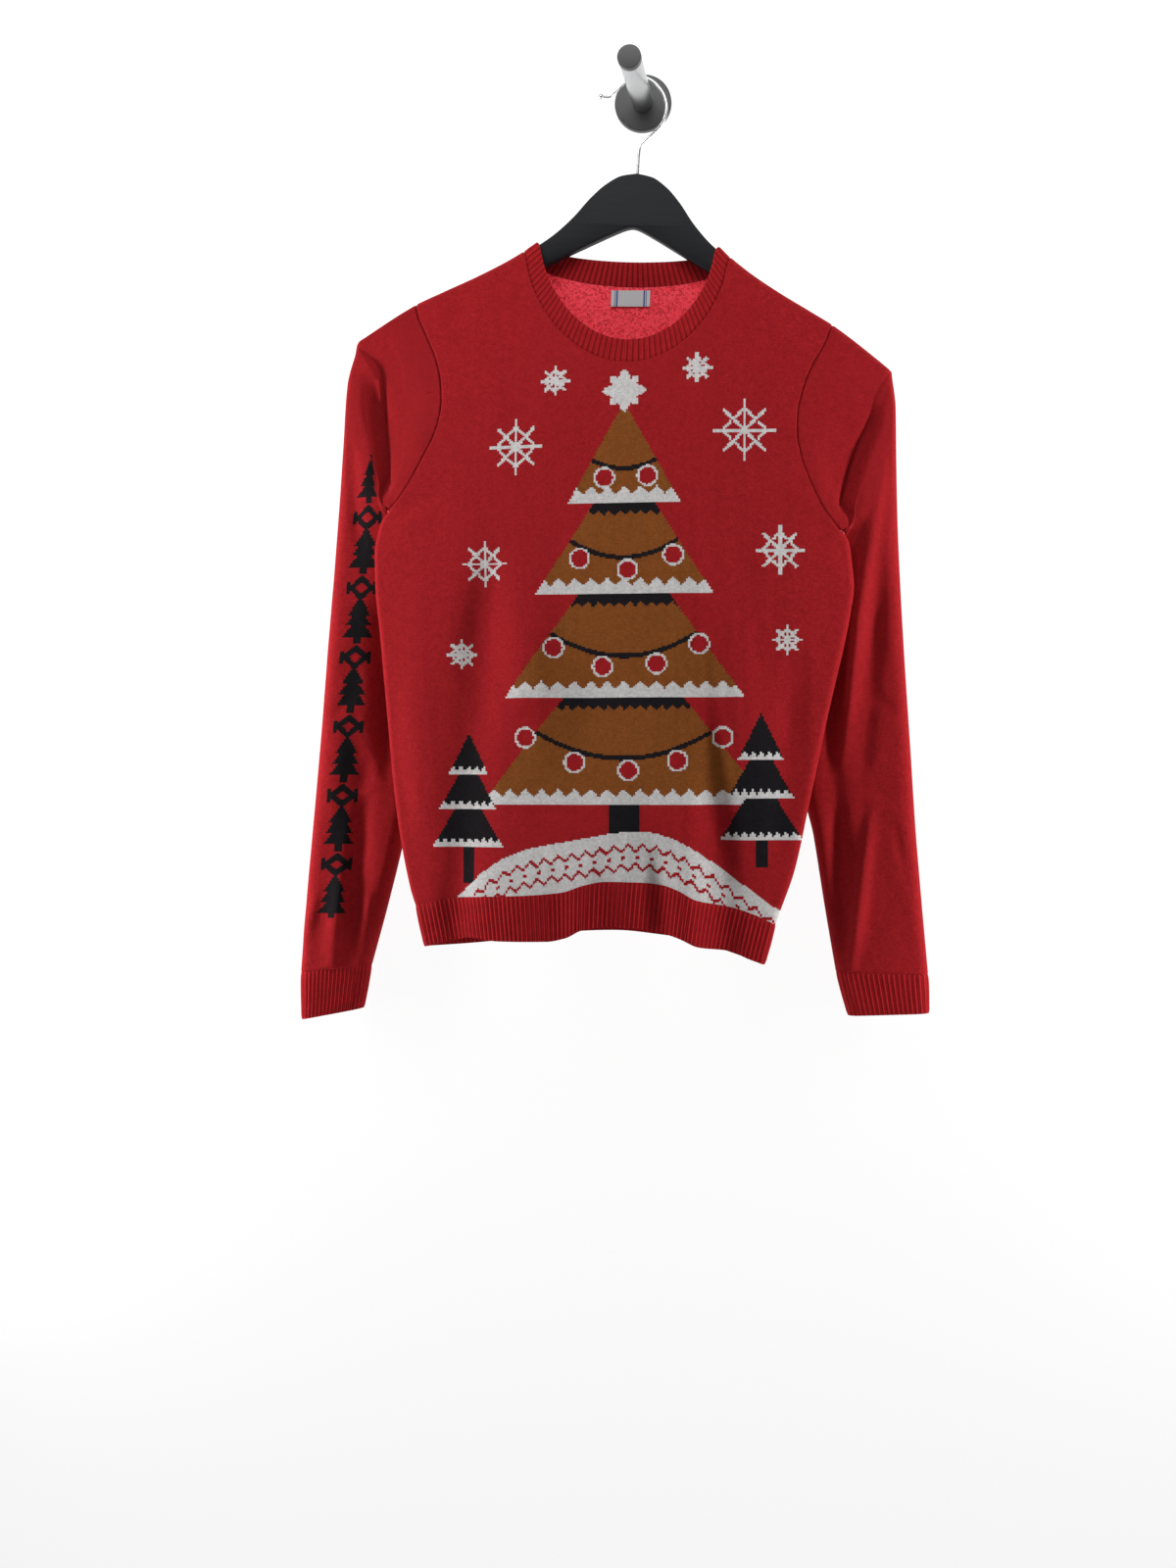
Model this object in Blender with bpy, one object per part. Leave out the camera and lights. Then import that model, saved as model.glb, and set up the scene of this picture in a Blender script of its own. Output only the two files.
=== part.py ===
"""Knitted christmas sweater on a flat hanger, hung from a round wall peg.

The origin is the middle of the wall plate's back face. +Z is up, +X is the viewer's right and
the wall is the plane y = 0, so the whole part lies at y < 0. Lengths are in millimetres until
a mesh is made. The garment is the wearer's, so its right side is at the viewer's left.
"""
import math

import bpy
import numpy as np

METRES = 0.001

# Driving dimensions
CLOTH = 1.8
SEAM_GAP = 0.3
RIB_RISE = 0.8
HANGER_PLANE = -36.0
HANGER_APEX = (-1.2, -73.3)
HANGER_ROLL = math.radians(5.2)
HANGER_THICKNESS = 10.0
HANGER_EDGE = 3.2
CLOTH_OVER_HANGER = 3.4
NECK_HALF = 70.0
RIDGE_ROLL = 8.2
FOLD_ROLL = 5.0
HEM_RIBS = 84
CUFF_RIBS = 40
NECK_RIBS = {"front": 58, "back": 42}
LABEL_SIZE = (34.0, 14.0)
LABEL_THICKNESS = 0.8
LABEL_GAP = 0.6
LABEL_TOP = (-8.0, -171.0)
LABEL_TILT = math.radians(-2.0)
PLATE_RADIUS = 25.0
PLATE_THICKNESS = 6.0
ROD_RADIUS = 9.5
CAP_RADIUS = 10.0
CAP_LENGTH = 7.0
PEG_LENGTH = 112.0
WIRE_RADIUS = 1.35
BALL_RADIUS = 2.3
FACE_GAP = 0.3


def table(columns, *rows):
    """Rows of numbers under named columns."""
    return dict(zip(columns.split(), np.array(rows, float).T))


# Top edge of the hanger from its middle outwards, in the hanger's own frame
HANGER_TOP = table(
    "out height",
    (0, 0), (13, -2.5), (26, -10.3), (39, -23.3), (52, -40), (67, -55.5),
    (82, -67.3), (105, -83.5), (131, -98.7), (158, -112.8), (186, -127.8), (208, -142.8),
    (232, -160))
HANGER_V_HEIGHT = -46.5
HANGER_V_SLOPE = 0.54
HANGER_TIP_CENTRE = (212.0, -157.5)
HANGER_TIP_RADIUS = 8.5

# Middle line of the hook's wire at the hanger plane, from its seat on the hanger to the ball
HOOK_WIRE = table(
    "x height",
    (-1.2, HANGER_APEX[1] + FACE_GAP), (-0.4, -58), (0.6, -50), (4, -45.5), (12, -38.5), (18.5, -32),
    (22.5, -24.5), (23.8, -16), (22, -7), (17.5, 1), (10, 8.2), (1.5, 11.4), (-7, 10.4),
    (-14.5, 5), (-21, -0.8), (-26.5, -4.6), (-31, -4.2))

# Armhole seams in the front view, from the shoulder down to the armpit
ARMHOLE = {
    "right": table(
        "x height",
        (-196, -181), (-192, -194), (-186, -207), (-176, -231), (-172, -250), (-171, -267),
        (-173, -282), (-178, -297), (-188, -316), (-198, -334), (-209, -350), (-218, -360)),
    "left": table(
        "x height",
        (166, -210), (159, -227), (148, -247), (140, -269), (136.5, -285), (136, -301),
        (139, -320), (146, -341), (156, -362), (165, -376), (173, -386)),
}

# Outer edge of the front layer: the sleeve's fold, then the side of the body, down to the hem
LAYER_EDGE = {
    "right": table(
        "height x",
        (-200, -247), (-230, -229), (-257, -223), (-287, -222), (-321, -220), (-340, -219),
        (-360, -218.5), (-378, -226), (-397, -231.5), (-425, -231.5), (-471, -227),
        (-548, -220), (-626, -212), (-691, -200), (-706, -195.5), (-743, -187)),
    "left": table(
        "height x",
        (-236, 214), (-250, 209), (-262, 202), (-287, 196), (-315, 184), (-343, 176.5),
        (-365, 172), (-386, 173.5), (-397, 177), (-415, 182), (-433, 184), (-455, 181),
        (-542, 162), (-618, 146), (-673, 134), (-719, 118), (-753, 108.5)),
}

# Bottom edges of the body's panels and of its rib
RIB_TOP = {
    "front": table(
        "x height",
        (-195.5, -706), (-154, -698), (-97, -695.5), (-63, -692.5), (-45, -686.5), (-25, -683),
        (0, -683.5), (21, -685.5), (36, -690), (52, -698.5), (83, -705), (102, -711.5),
        (118, -719.5)),
    "back": table(
        "x height",
        (-195.5, -706), (-140, -700), (-80, -693), (-20, -690), (40, -695), (90, -708),
        (118, -719.5)),
}
HEM = {
    "front": table(
        "x height",
        (-187, -741.5), (-165, -736.5), (-145, -732.5), (-118, -735), (-75, -734.5),
        (-60, -731.5), (-45, -724.5), (-25, -721.5), (0, -722.5), (20, -726), (38, -731),
        (55, -738.5), (80, -742), (97, -749), (109, -753.5)),
    "back": table(
        "x height",
        (-187, -741.5), (-140, -738), (-80, -731), (-20, -727.5), (40, -733), (80, -744),
        (109, -753.5)),
}

# Depth of the front and back layers by how far a point hangs below the shoulder line
LAYER = table(
    "drop front back front_tuck back_tuck front_full back_full",
    (0, -46.5, -25.5, 0, 0, 0, 0),
    (30, -46.5, -25.5, 0.5, 0, 2, 0),
    (60, -47, -26, 4, 2, 5, 0.5),
    (100, -47.5, -27.5, 5, 3, 8, 1.5),
    (130, -48, -30, 5, 4, 10, 3),
    (150, -48.5, -34, 5, 5, 11, 5),
    (175, -49, -39, 5, 5, 12, 10),
    (260, -49, -39, 5, 5, 14, 17),
    (400, -49, -39, 5, 5, 17, 21),
    (560, -49, -39, 5, 5, 18, 22))

# Soft folds that hang in the front and back layers, deepest at the hem
FOLDS = {
    "front": table(
        "x_low x_high top depth width",
        (-158, -150, -560, -5.0, 15),
        (-100, -112, -430, 3.0, 26),
        (-46, -40, -520, 4.5, 14),
        (16, 8, -540, -5.5, 15),
        (44, 34, -560, 5.0, 12),
        (74, 66, -520, -5.5, 15)),
    "back": table(
        "x_low x_high top depth width",
        (-120, -112, -480, -4.0, 22),
        (-62, -50, -420, 4.0, 20),
        (10, 4, -520, -5.0, 18),
        (62, 70, -460, 4.0, 18)),
}

# Where the sleeves hang free: outer and inner edge, their depth, and half the tube's thickness
SLEEVE = {
    "right": table(
        "outer_x outer_height inner_x inner_height outer_depth inner_depth half inner_half",
        (-252, -219, -222, -361, -36, -41.8, 9, 5),
        (-258, -246, -222, -362, -35.5, -41.2, 9, 5),
        (-262, -292, -222, -363, -34, -40.6, 9, 5),
        (-267, -352, -225, -378, -31.5, -35, 10, 6),
        (-272, -410, -221, -405, -29.5, -27, 10.5, 8),
        (-278, -475, -207, -465, -28, -21, 11, 11),
        (-284, -548, -200, -585, -27, -16.5, 11.5, 11.5),
        (-291, -622, -210, -637, -26.5, -15.5, 11.5, 11.5),
        (-298, -697, -226, -703, -26.5, -16.5, 11, 11),
        (-303.5, -767, -241.5, -761, -27, -18, 10, 10)),
    "left": table(
        "outer_x outer_height inner_x inner_height outer_depth inner_depth half inner_half",
        (217, -255, 177.4, -386, -36, -42, 9, 5),
        (219, -280, 177.4, -387, -35, -41.4, 9, 5),
        (219.5, -322, 177.4, -388, -34, -40.8, 9, 5),
        (220.5, -372, 178.5, -402, -32, -36, 10, 6),
        (223, -430, 174, -428, -29, -28.5, 10.5, 8),
        (227, -500, 155, -490, -27.5, -21.5, 10.5, 10.5),
        (231.5, -568, 141, -600, -26.5, -19, 10.5, 10.5),
        (236, -640, 149.5, -645, -26, -20, 10.5, 10.5),
        (241.5, -706, 159, -705, -26, -21.5, 10, 10),
        (246.5, -762, 168.5, -761, -26, -22.5, 9.5, 9.5)),
}
# Free edge of each cuff, in the same columns
CUFF_EDGE = {
    "right": table(
        "outer_x outer_height inner_x inner_height outer_depth inner_depth half inner_half",
        (-302.5, -809, -249, -799, -27, -18, 10.5, 10.5)),
    "left": table(
        "outer_x outer_height inner_x inner_height outer_depth inner_depth half inner_half",
        (247, -794.5, 179, -798, -26, -22.5, 10, 10)),
}

# Ridge ends of the sleeve's fold, then of the valley just outside it
TUCK_TOPS = {
    "right": table("x height", (-246.5, -211.5), (-250, -214)),
    "left": table("x height", (213, -247.5), (215.5, -250.5)),
}
# The sleeve's first rings fan out round the armpit: degrees above straight out, how far back
# they end, and the length of a whole ring at the fan's scale
FAN = table(
    "angle depth length",
    (118, 0, 200), (100, 0.1, 190), (84, 0.3, 180), (70, 0.6, 168), (57, 0.9, 155),
    (44, 1.3, 140), (30, 1.8, 125), (15, 2.4, 112), (0, 3.0, 100))
FAN_RADIUS = 1.5
ARMHOLE_LENGTH = 200.0
TUCK_BACK_DEPTH = table("drop depth", (0, -26), (60, -26), (100, -27), (140, -29), (180, -32))
# Rings between the armhole and the fold: share of the way, distance in from the fold, and
# how far the ring's ends stay behind its middle
CAP_RINGS = ((0.35, 0.0, 0.0), (0.68, 0.0, 0.0), (1.0, 5.0, 0.22), (1.0, 1.6, 0.11),
             (1.0, 0.0, 0.0))
VALLEY_WIDTH = 2.5
VALLEY_STEP = 3.0
VALLEY_BACK = 8.0
TIP_HALF = 9.0

# Neck loops in the front view: the seam and the band's free edge
NECK_MIDDLE = {"seam": -10.5, "edge": -9.5}
NECK_HALF_WIDTH = {"seam": 90.5, "edge": 78.5}
NECK_FALL = {("front", "seam"): 95.5, ("front", "edge"): 84.5,
             ("back", "seam"): 25.0, ("back", "edge"): 12.5}
NECK_FLARE = 3.0
NECK_SQUARENESS = {"front": 1.15, "back": 1.0}
BAND_LEAN = {"front": 4.0, "back": -3.0}

# Where the grids of the panels and sleeves run. The armhole's fractions, from the shoulder to
# the armpit, are shared by both; the panel's top row has the neck between two fractions
SEAM_STOPS = np.array([0, 0.012, 0.045, 0.1, 0.19, 0.3, 0.4, 0.5, 0.6, 0.7, 0.81, 0.9, 0.955,
                       0.988, 1])
ARMPIT_AT = 0.33
ARMPIT_NORMAL = (0.76, -0.65)
ARMPIT_HALF = 5.0
EDGE_STOPS = np.array([0, 0.0018, 0.0064, 0.0130, 0.045])
NECK_AT = {"start": 0.3, "end": 0.86}
NECK_STOPS = {"front": np.array([0.02, 0.05, 0.09, 0.15, 0.22, 0.3, 0.4]),
              "back": np.array([0.025, 0.06, 0.13, 0.23, 0.36])}
LOW_ROWS = 10

# Colours of the pieces, as linear red, green and blue
RED = (0.33, 0.012, 0.018)
BLACK = (0.02, 0.021, 0.022)
STEEL = (0.62, 0.63, 0.64)
WHITE = (0.75, 0.74, 0.72)


# Curves and interpolation
def monotone_slopes(xs, ys):
    """Slopes of the smooth curve through a table that adds no bumps of its own."""
    width = np.diff(xs)
    rise = np.diff(ys) / width
    slopes = np.empty(len(xs))
    slopes[0], slopes[-1] = rise[0], rise[-1]
    same = rise[:-1] * rise[1:] > 0
    before = 2 * width[1:] + width[:-1]
    after = width[1:] + 2 * width[:-1]
    safe_low = np.where(same, rise[:-1], 1.0)
    safe_high = np.where(same, rise[1:], 1.0)
    slopes[1:-1] = np.where(same, (before + after) / (before / safe_low + after / safe_high), 0)
    return slopes


def smooth(x, xs, ys):
    """Value at x of the smooth curve through a table, straight on beyond its ends."""
    xs, ys = np.asarray(xs, float), np.asarray(ys, float)
    if xs[0] > xs[-1]:
        xs, ys = xs[::-1], ys[::-1]
    slopes = monotone_slopes(xs, ys)
    x = np.asarray(x, float)
    held = np.clip(x, xs[0], xs[-1])
    cell = np.clip(np.searchsorted(xs, held, side="right") - 1, 0, len(xs) - 2)
    width = xs[cell + 1] - xs[cell]
    t = (held - xs[cell]) / width
    value = (ys[cell] * (1 + 2 * t) * (1 - t) ** 2 + ys[cell + 1] * t * t * (3 - 2 * t)
             + slopes[cell] * width * t * (1 - t) ** 2
             + slopes[cell + 1] * width * t * t * (t - 1))
    beyond = np.where(x < xs[0], slopes[0], slopes[-1])
    return value + beyond * (x - held)


def run_length(points):
    """Distance along a line of points, from 0 to 1."""
    steps = np.linalg.norm(np.diff(points, axis=0), axis=1)
    length = np.concatenate(([0], np.cumsum(steps)))
    return length / length[-1]


def along(points, fraction):
    """Points at the given fractions of a line's length, on a smooth curve through it."""
    points = np.asarray(points, float)
    where = run_length(points)
    return np.stack([smooth(fraction, where, points[:, axis])
                     for axis in range(points.shape[1])], axis=-1)


def ease(x, low, high):
    """0 below low, 1 above high, and a soft step between."""
    t = np.clip((np.asarray(x, float) - low) / (high - low), 0, 1)
    return t * t * (3 - 2 * t)


def rounded(distance, radius, power):
    """Height of a rolled edge at a distance in from it: 0 on the edge, 1 from the radius on."""
    t = np.clip(distance / radius, 0, 1)
    return (1 - (1 - t) ** power) ** (1 / power)


# The hanger's own frame
def from_hanger(out, height):
    """A point of the rolled hanger in the front view."""
    cos, sin = math.cos(HANGER_ROLL), math.sin(HANGER_ROLL)
    return (HANGER_APEX[0] + out * cos + height * sin,
            HANGER_APEX[1] - out * sin + height * cos)


def ridge_height(x):
    """Height of the cloth's shoulder line over the hanger, level across the neck."""
    out = np.asarray(x, float)
    for _ in range(6):
        top = smooth(np.maximum(np.abs(out), NECK_HALF), HANGER_TOP["out"], HANGER_TOP["height"])
        top = top + CLOTH_OVER_HANGER
        out = (x - HANGER_APEX[0] - top * math.sin(HANGER_ROLL)) / math.cos(HANGER_ROLL)
    return from_hanger(out, top)[1]


# The front and back layers of the body
def edge_x(side, height):
    """Outer edge of the front layer at a height."""
    return smooth(height, LAYER_EDGE[side]["height"], LAYER_EDGE[side]["x"])


def fold_depth(face, x, height):
    """How far the soft folds stand out of a layer."""
    total = np.zeros(np.broadcast(x, height).shape)
    folds = FOLDS[face]
    for low, high, top, depth, width in zip(*folds.values()):
        down = ease(-height, -top, 730)
        centre = high + (low - high) * np.clip((top - height) / (top + 730), 0, 1)
        total = total + depth * down * np.exp(-((x - centre) / width) ** 2)
    return total


def layer_depth(face, x, height):
    """Depth of the front or back layer's outer surface at a point of the front view."""
    x, height = np.asarray(x, float), np.asarray(height, float)
    drop = ridge_height(x) - height
    low, high = edge_x("right", height), edge_x("left", height)
    inside = np.minimum(x - low, high - x)
    across = np.clip((x - low) / (high - low), 0, 1)
    out = -1 if face == "front" else 1
    flat = smooth(np.clip(drop, 0, 560), LAYER["drop"], LAYER[face])
    tuck = smooth(np.clip(drop, 0, 560), LAYER["drop"], LAYER[face + "_tuck"])
    full = smooth(np.clip(drop, 0, 560), LAYER["drop"], LAYER[face + "_full"])
    bulge = 1 - np.abs(2 * across - 1) ** 2.2 if face == "front" else \
        (1 - np.cos(2 * math.pi * across)) / 2
    free = np.clip(inside / 30, 0, 1)
    depth = flat - HANGER_PLANE - out * tuck * (1 - rounded(inside, FOLD_ROLL, 2))
    depth = depth + out * (full * bulge + free * fold_depth(face, x, height))
    return HANGER_PLANE + out * SEAM_GAP / 2 + depth * rounded(drop * 0.87, RIDGE_ROLL, 2.4)


def layer_normal(face, x, height):
    """Outward normal of a layer; it lies in the front view on the ridge and the side edges."""
    step = 0.004
    slope_x = (layer_depth(face, x + step, height) - layer_depth(face, x - step, height)) / step
    slope_z = (layer_depth(face, x, height + step) - layer_depth(face, x, height - step)) / step
    inside = np.minimum(x - edge_x("right", height), edge_x("left", height) - x)
    at_edge = np.minimum(ridge_height(x) - height, inside) < 0.02
    out = -1 if face == "front" else 1
    level = np.where(at_edge, 0, out)
    normal = np.stack([-out * slope_x / 2, level, -out * slope_z / 2], -1)
    return normal / np.linalg.norm(normal, axis=-1, keepdims=True)


def neck_point(face, line, turn):
    """Front view of a neck loop; turn goes from 0 at its right end to 1 at its left end."""
    middle, half = NECK_MIDDLE[line], NECK_HALF_WIDTH[line]
    angle = math.pi * np.asarray(turn, float)
    ends = ridge_height(np.array([middle - half, middle + half]))
    fall = NECK_FALL[face, line] * np.clip(np.sin(angle), 0, 1) ** NECK_SQUARENESS[face]
    x = middle - (half - NECK_FLARE * np.tanh(fall / (2 * NECK_FLARE))) * np.cos(angle)
    level = ends[0] + (ends[1] - ends[0]) * (x - middle + half) / (2 * half)
    return np.stack([x, level - fall], -1)


# Meshes
def rim_faces(outer, inner, later, swapped=False):
    """Two triangles of a rim between neighbouring outer and inner points."""
    (a, b), (c, d) = (outer, inner) if later else (outer[::-1], inner[::-1])
    if swapped == later:
        return [(a, b, c), (b, d, c)]
    return [(a, b, d), (a, d, c)]


def wall_mesh(outer, inner, closed):
    """Vertices and faces of a wall between two grids; closed rings have no side rims."""
    rows, columns = outer.shape[:2]
    points = np.concatenate([outer.reshape(-1, 3), inner.reshape(-1, 3)])
    last = rows * columns
    faces = []
    spans = columns if closed else columns - 1
    for row in range(rows - 1):
        for column in range(spans):
            after = (column + 1) % columns
            a, b = row * columns + column, row * columns + after
            c, d = (row + 1) * columns + after, (row + 1) * columns + column
            faces.append((a, b, c, d))
            faces.append((last + d, last + c, last + b, last + a))
    for column in range(spans):
        after = (column + 1) % columns
        faces += rim_faces((column, after), (last + column, last + after), False,
                           column < columns // 2)
        low, low_after = (rows - 1) * columns + column, (rows - 1) * columns + after
        faces.append((low, low_after, last + low_after, last + low))
    if not closed:
        for row in range(rows - 1):
            a, b = row * columns, (row + 1) * columns
            faces += rim_faces((a, b), (last + a, last + b), True, True)
            a, b = a + columns - 1, b + columns - 1
            faces += rim_faces((a, b), (last + a, last + b), False, True)
    return points, faces


def add_object(name, points, faces, material, turned=False):
    """A named object from points in millimetres."""
    mesh = bpy.data.meshes.new(name)
    if turned:
        faces = [face[::-1] for face in faces]
    mesh.from_pydata([tuple(float(value) * METRES for value in point) for point in points],
                     [], [tuple(int(index) for index in face) for face in faces])
    mesh.validate()
    mesh.materials.append(material)
    mesh.shade_smooth()
    mesh.set_sharp_from_angle(angle=math.radians(50))
    piece = bpy.data.objects.new(name, mesh)
    bpy.context.scene.collection.objects.link(piece)
    return piece


def make_material(name, colour, roughness, metallic=0.0):
    """A Principled material."""
    material = bpy.data.materials.new(name)
    material.use_nodes = True
    shader = material.node_tree.nodes["Principled BSDF"]
    shader.inputs["Base Color"].default_value = (*colour, 1.0)
    shader.inputs["Roughness"].default_value = roughness
    shader.inputs["Metallic"].default_value = metallic
    return material


def grid_normals(grid, closed):
    """Normals of a grid of points, from its neighbours."""
    if closed:
        across = np.roll(grid, -1, axis=1) - np.roll(grid, 1, axis=1)
    else:
        across = np.gradient(grid, axis=1)
    down = np.gradient(grid, axis=0)
    normal = np.cross(down, across)
    return normal / np.linalg.norm(normal, axis=-1, keepdims=True)


# Body panels
def seam_line(side):
    """Armhole seam in the front view, starting on the shoulder line."""
    line = np.stack([ARMHOLE[side]["x"], ARMHOLE[side]["height"]], -1)
    line[0, 1] = ridge_height(line[0, 0])
    return line


def seam_frame(side, face):
    """Points of an armhole seam, the cloth's normals there, and the way to the sleeve."""
    line = seam_line(side)
    flat = along(line, SEAM_STOPS)
    flat[0, 1] = ridge_height(flat[0, 0])
    flat[-1, 0] = edge_x(side, flat[-1, 1])
    points = np.stack([flat[:, 0], layer_depth(face, flat[:, 0], flat[:, 1]), flat[:, 1]], -1)
    normals = layer_normal(face, flat[:, 0], flat[:, 1])
    heading = np.gradient(points, axis=0)
    out = -1 if side == "right" else 1
    turn = -out if face == "front" else out
    beside = np.cross(heading, normals) * turn
    beside[0] = (out, 0, ridge_height(flat[0, 0] + out) - flat[0, 1])
    normals[-1] = (ARMPIT_NORMAL[0] * out, 0, ARMPIT_NORMAL[1])
    beside[-1] = (-ARMPIT_NORMAL[1] * out, 0, ARMPIT_NORMAL[0])
    beside /= np.linalg.norm(beside, axis=1, keepdims=True)
    return points, normals, beside


def panel_columns(face):
    """Fractions across a panel: rolled edges, shoulders, and the neck between them."""
    start, end = NECK_AT["start"], NECK_AT["end"]
    left = np.concatenate([EDGE_STOPS[:-1], np.linspace(EDGE_STOPS[-1], start, 5)])
    right = 1 - np.concatenate([EDGE_STOPS[:-1], np.linspace(EDGE_STOPS[-1], 1 - end, 5)])[::-1]
    half = NECK_STOPS[face]
    neck = start + (end - start) * np.concatenate([half, [0.5], 1 - half[::-1]])
    return np.concatenate([left, neck, right])


def panel_net(face, columns, rows):
    """Front view of a panel: a smooth net between its shoulders, neck, sides and rib."""
    start, end = NECK_AT["start"], NECK_AT["end"]
    top = neck_point(face, "seam", np.clip((columns - start) / (end - start), 0, 1))
    first, final = top[columns <= start][-1, 0], top[columns >= end][0, 0]
    before, after = columns < start, columns > end
    low_x, high_x = (ARMHOLE[side]["x"][0] for side in ("right", "left"))
    top[before, 0] = low_x + (first - low_x) * columns[before] / start
    top[after, 0] = final + (high_x - final) * (columns[after] - end) / (1 - end)
    top[before | after, 1] = ridge_height(top[before | after, 0])
    rib = RIB_TOP[face]
    bottom_x = rib["x"][0] + (rib["x"][-1] - rib["x"][0]) * columns
    bottom = np.stack([bottom_x, smooth(bottom_x, rib["x"], rib["height"]) + SEAM_GAP / 2], -1)
    bottom[0, 0] = edge_x("right", bottom[0, 1])
    bottom[-1, 0] = edge_x("left", bottom[-1, 1])
    below = (rows[len(SEAM_STOPS):] - ARMPIT_AT) / (1 - ARMPIT_AT)
    u, v = columns[None, :, None], rows[:, None, None]
    net = (1 - v) * top[None] + v * bottom[None]
    shares = {"right": np.clip(1 - u / start, 0, 1) ** 1.5,
              "left": np.clip(1 - (1 - u) / (1 - end), 0, 1) ** 1.5}
    for side, column in (("right", 0), ("left", -1)):
        seam = seam_frame(side, face)[0][:, (0, 2)]
        height = seam[-1, 1] + (bottom[column, 1] - seam[-1, 1]) * below
        edge = np.concatenate([seam, np.stack([edge_x(side, height), height], -1)])
        net = net + shares[side] * (edge - net[:, column])[:, None]
    return net


def panel_walls(face):
    """Outer and inner points of a panel, and its columns."""
    columns = panel_columns(face)
    rows = np.concatenate([SEAM_STOPS * ARMPIT_AT,
                           np.linspace(ARMPIT_AT, 1, LOW_ROWS + 1)[1:]])
    net = panel_net(face, columns, rows)
    x, height = net[..., 0], net[..., 1]
    outer = np.stack([x, layer_depth(face, x, height), height], -1)
    normal = layer_normal(face, x, height)
    for side, column in (("right", 0), ("left", -1)):
        points, normals, beside = seam_frame(side, face)
        stops = len(SEAM_STOPS)
        outer[:stops, column] = points - SEAM_GAP / 2 * beside
        normal[:stops, column] = normals
    return outer, outer - CLOTH * normal, columns


def add_wall(name, walls, material, closed=False, turned=False):
    """A cloth piece from its outer and inner points."""
    points, faces = wall_mesh(walls[0], walls[1], closed)
    return add_object(name, points, faces, material, turned)


# Ribbed bands, which follow the edge of the piece they are sewn to
def even_places(line, count, closed=False):
    """Evenly spaced places along a line of points, as fractional point numbers."""
    if closed:
        line = np.concatenate([line, line[:1]])
    where = run_length(line)
    places = np.interp(np.linspace(0, 1, count + 1), where, np.arange(len(line)))
    return places[:-1] if closed else places


def at_places(line, places, closed=False):
    """Points of a line of points at fractional point numbers."""
    if closed:
        line = np.concatenate([line, line[:1]])
    numbers = np.arange(len(line))
    return np.stack([np.interp(places, numbers, line[:, axis]) for axis in range(3)], -1)


def ribbed_walls(seam_outer, seam_inner, free_edge, normal):
    """Walls of a band from its seam to its free edge, with every second point raised."""
    towards = free_edge - seam_outer
    towards *= SEAM_GAP / np.linalg.norm(towards, axis=1, keepdims=True)
    rise = RIB_RISE * (np.arange(len(free_edge)) % 2)[:, None]
    across = (seam_outer - seam_inner) / CLOTH
    outer = np.array([seam_outer + towards + rise * across, free_edge + rise * normal])
    inner = np.array([seam_inner + towards, free_edge - CLOTH * normal])
    return outer, inner


def line_normals(line, upward, closed=False):
    """Normals of a band at its free edge: square to the edge and to the upward direction."""
    if closed:
        heading = np.roll(line, -1, axis=0) - np.roll(line, 1, axis=0)
    else:
        heading = np.gradient(line, axis=0)
    normal = np.cross(heading, upward)
    return normal / np.linalg.norm(normal, axis=1, keepdims=True)


def hem_walls(face, panel):
    """Walls of half of the hem rib, sewn to a panel's lowest row."""
    outer, inner = panel[0][-1], panel[1][-1]
    places = even_places(outer, 2 * HEM_RIBS)
    seam_outer, seam_inner = at_places(outer, places), at_places(inner, places)
    hem = HEM[face]
    fine = (1 - np.cos(np.linspace(0, math.pi, 801))) / 2
    x = hem["x"][0] + (hem["x"][-1] - hem["x"][0]) * fine
    height = smooth(x, hem["x"], hem["height"])
    left, right = edge_x("right", height[0]), edge_x("left", height[-1])
    x = left + (right - left) * fine
    line = np.stack([x, layer_depth(face, x, height), height], -1)
    free = at_places(line, even_places(line, 2 * HEM_RIBS))
    upward = (0, 0, 1) if face == "front" else (0, 0, -1)
    normal = line_normals(free, upward)
    normal[(0, -1), :] *= (1, 0, 1)
    normal /= np.linalg.norm(normal, axis=1, keepdims=True)
    return ribbed_walls(seam_outer, seam_inner, free, normal)


def neck_walls(front, back):
    """Walls of the neckband, sewn to the neck edges of both panels."""
    parts = []
    for face, panel in (("front", front), ("back", back)):
        outer, inner, columns = panel
        neck = (columns >= NECK_AT["start"]) & (columns <= NECK_AT["end"])
        seam_outer, seam_inner = outer[0, neck], inner[0, neck]
        fine = np.linspace(0, 1, 401)
        flat = neck_point(face, "edge", fine)
        lean = BAND_LEAN[face] * np.sin(math.pi * fine) ** 0.5
        free = np.stack([flat[:, 0], layer_depth(face, flat[:, 0], flat[:, 1]) + lean,
                         flat[:, 1]], -1)
        ribs = NECK_RIBS[face]
        places = even_places(seam_outer, 2 * ribs)
        part = [at_places(seam_outer, places), at_places(seam_inner, places),
                at_places(free, even_places(free, 2 * ribs))]
        if face == "back":
            part = [line[::-1] for line in part]
        parts.append([line[:-1] for line in part])
    seam_outer, seam_inner, free = (np.concatenate(lines) for lines in zip(*parts))
    normal = np.cross(seam_outer - free, np.roll(free, -1, axis=0) - np.roll(free, 1, axis=0))
    normal /= np.linalg.norm(normal, axis=1, keepdims=True)
    return ribbed_walls(seam_outer, seam_inner, free, normal)


# Sleeves and cuffs
def edge_swell(across, width, half):
    """Thickness of a flattened tube across its width: round edges, then nearly flat."""
    inside = width * np.minimum(across, 1 - across)
    return rounded(inside, 1.15 * half, 2.2) * (0.92 + 0.08 * np.sin(math.pi * across))


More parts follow.
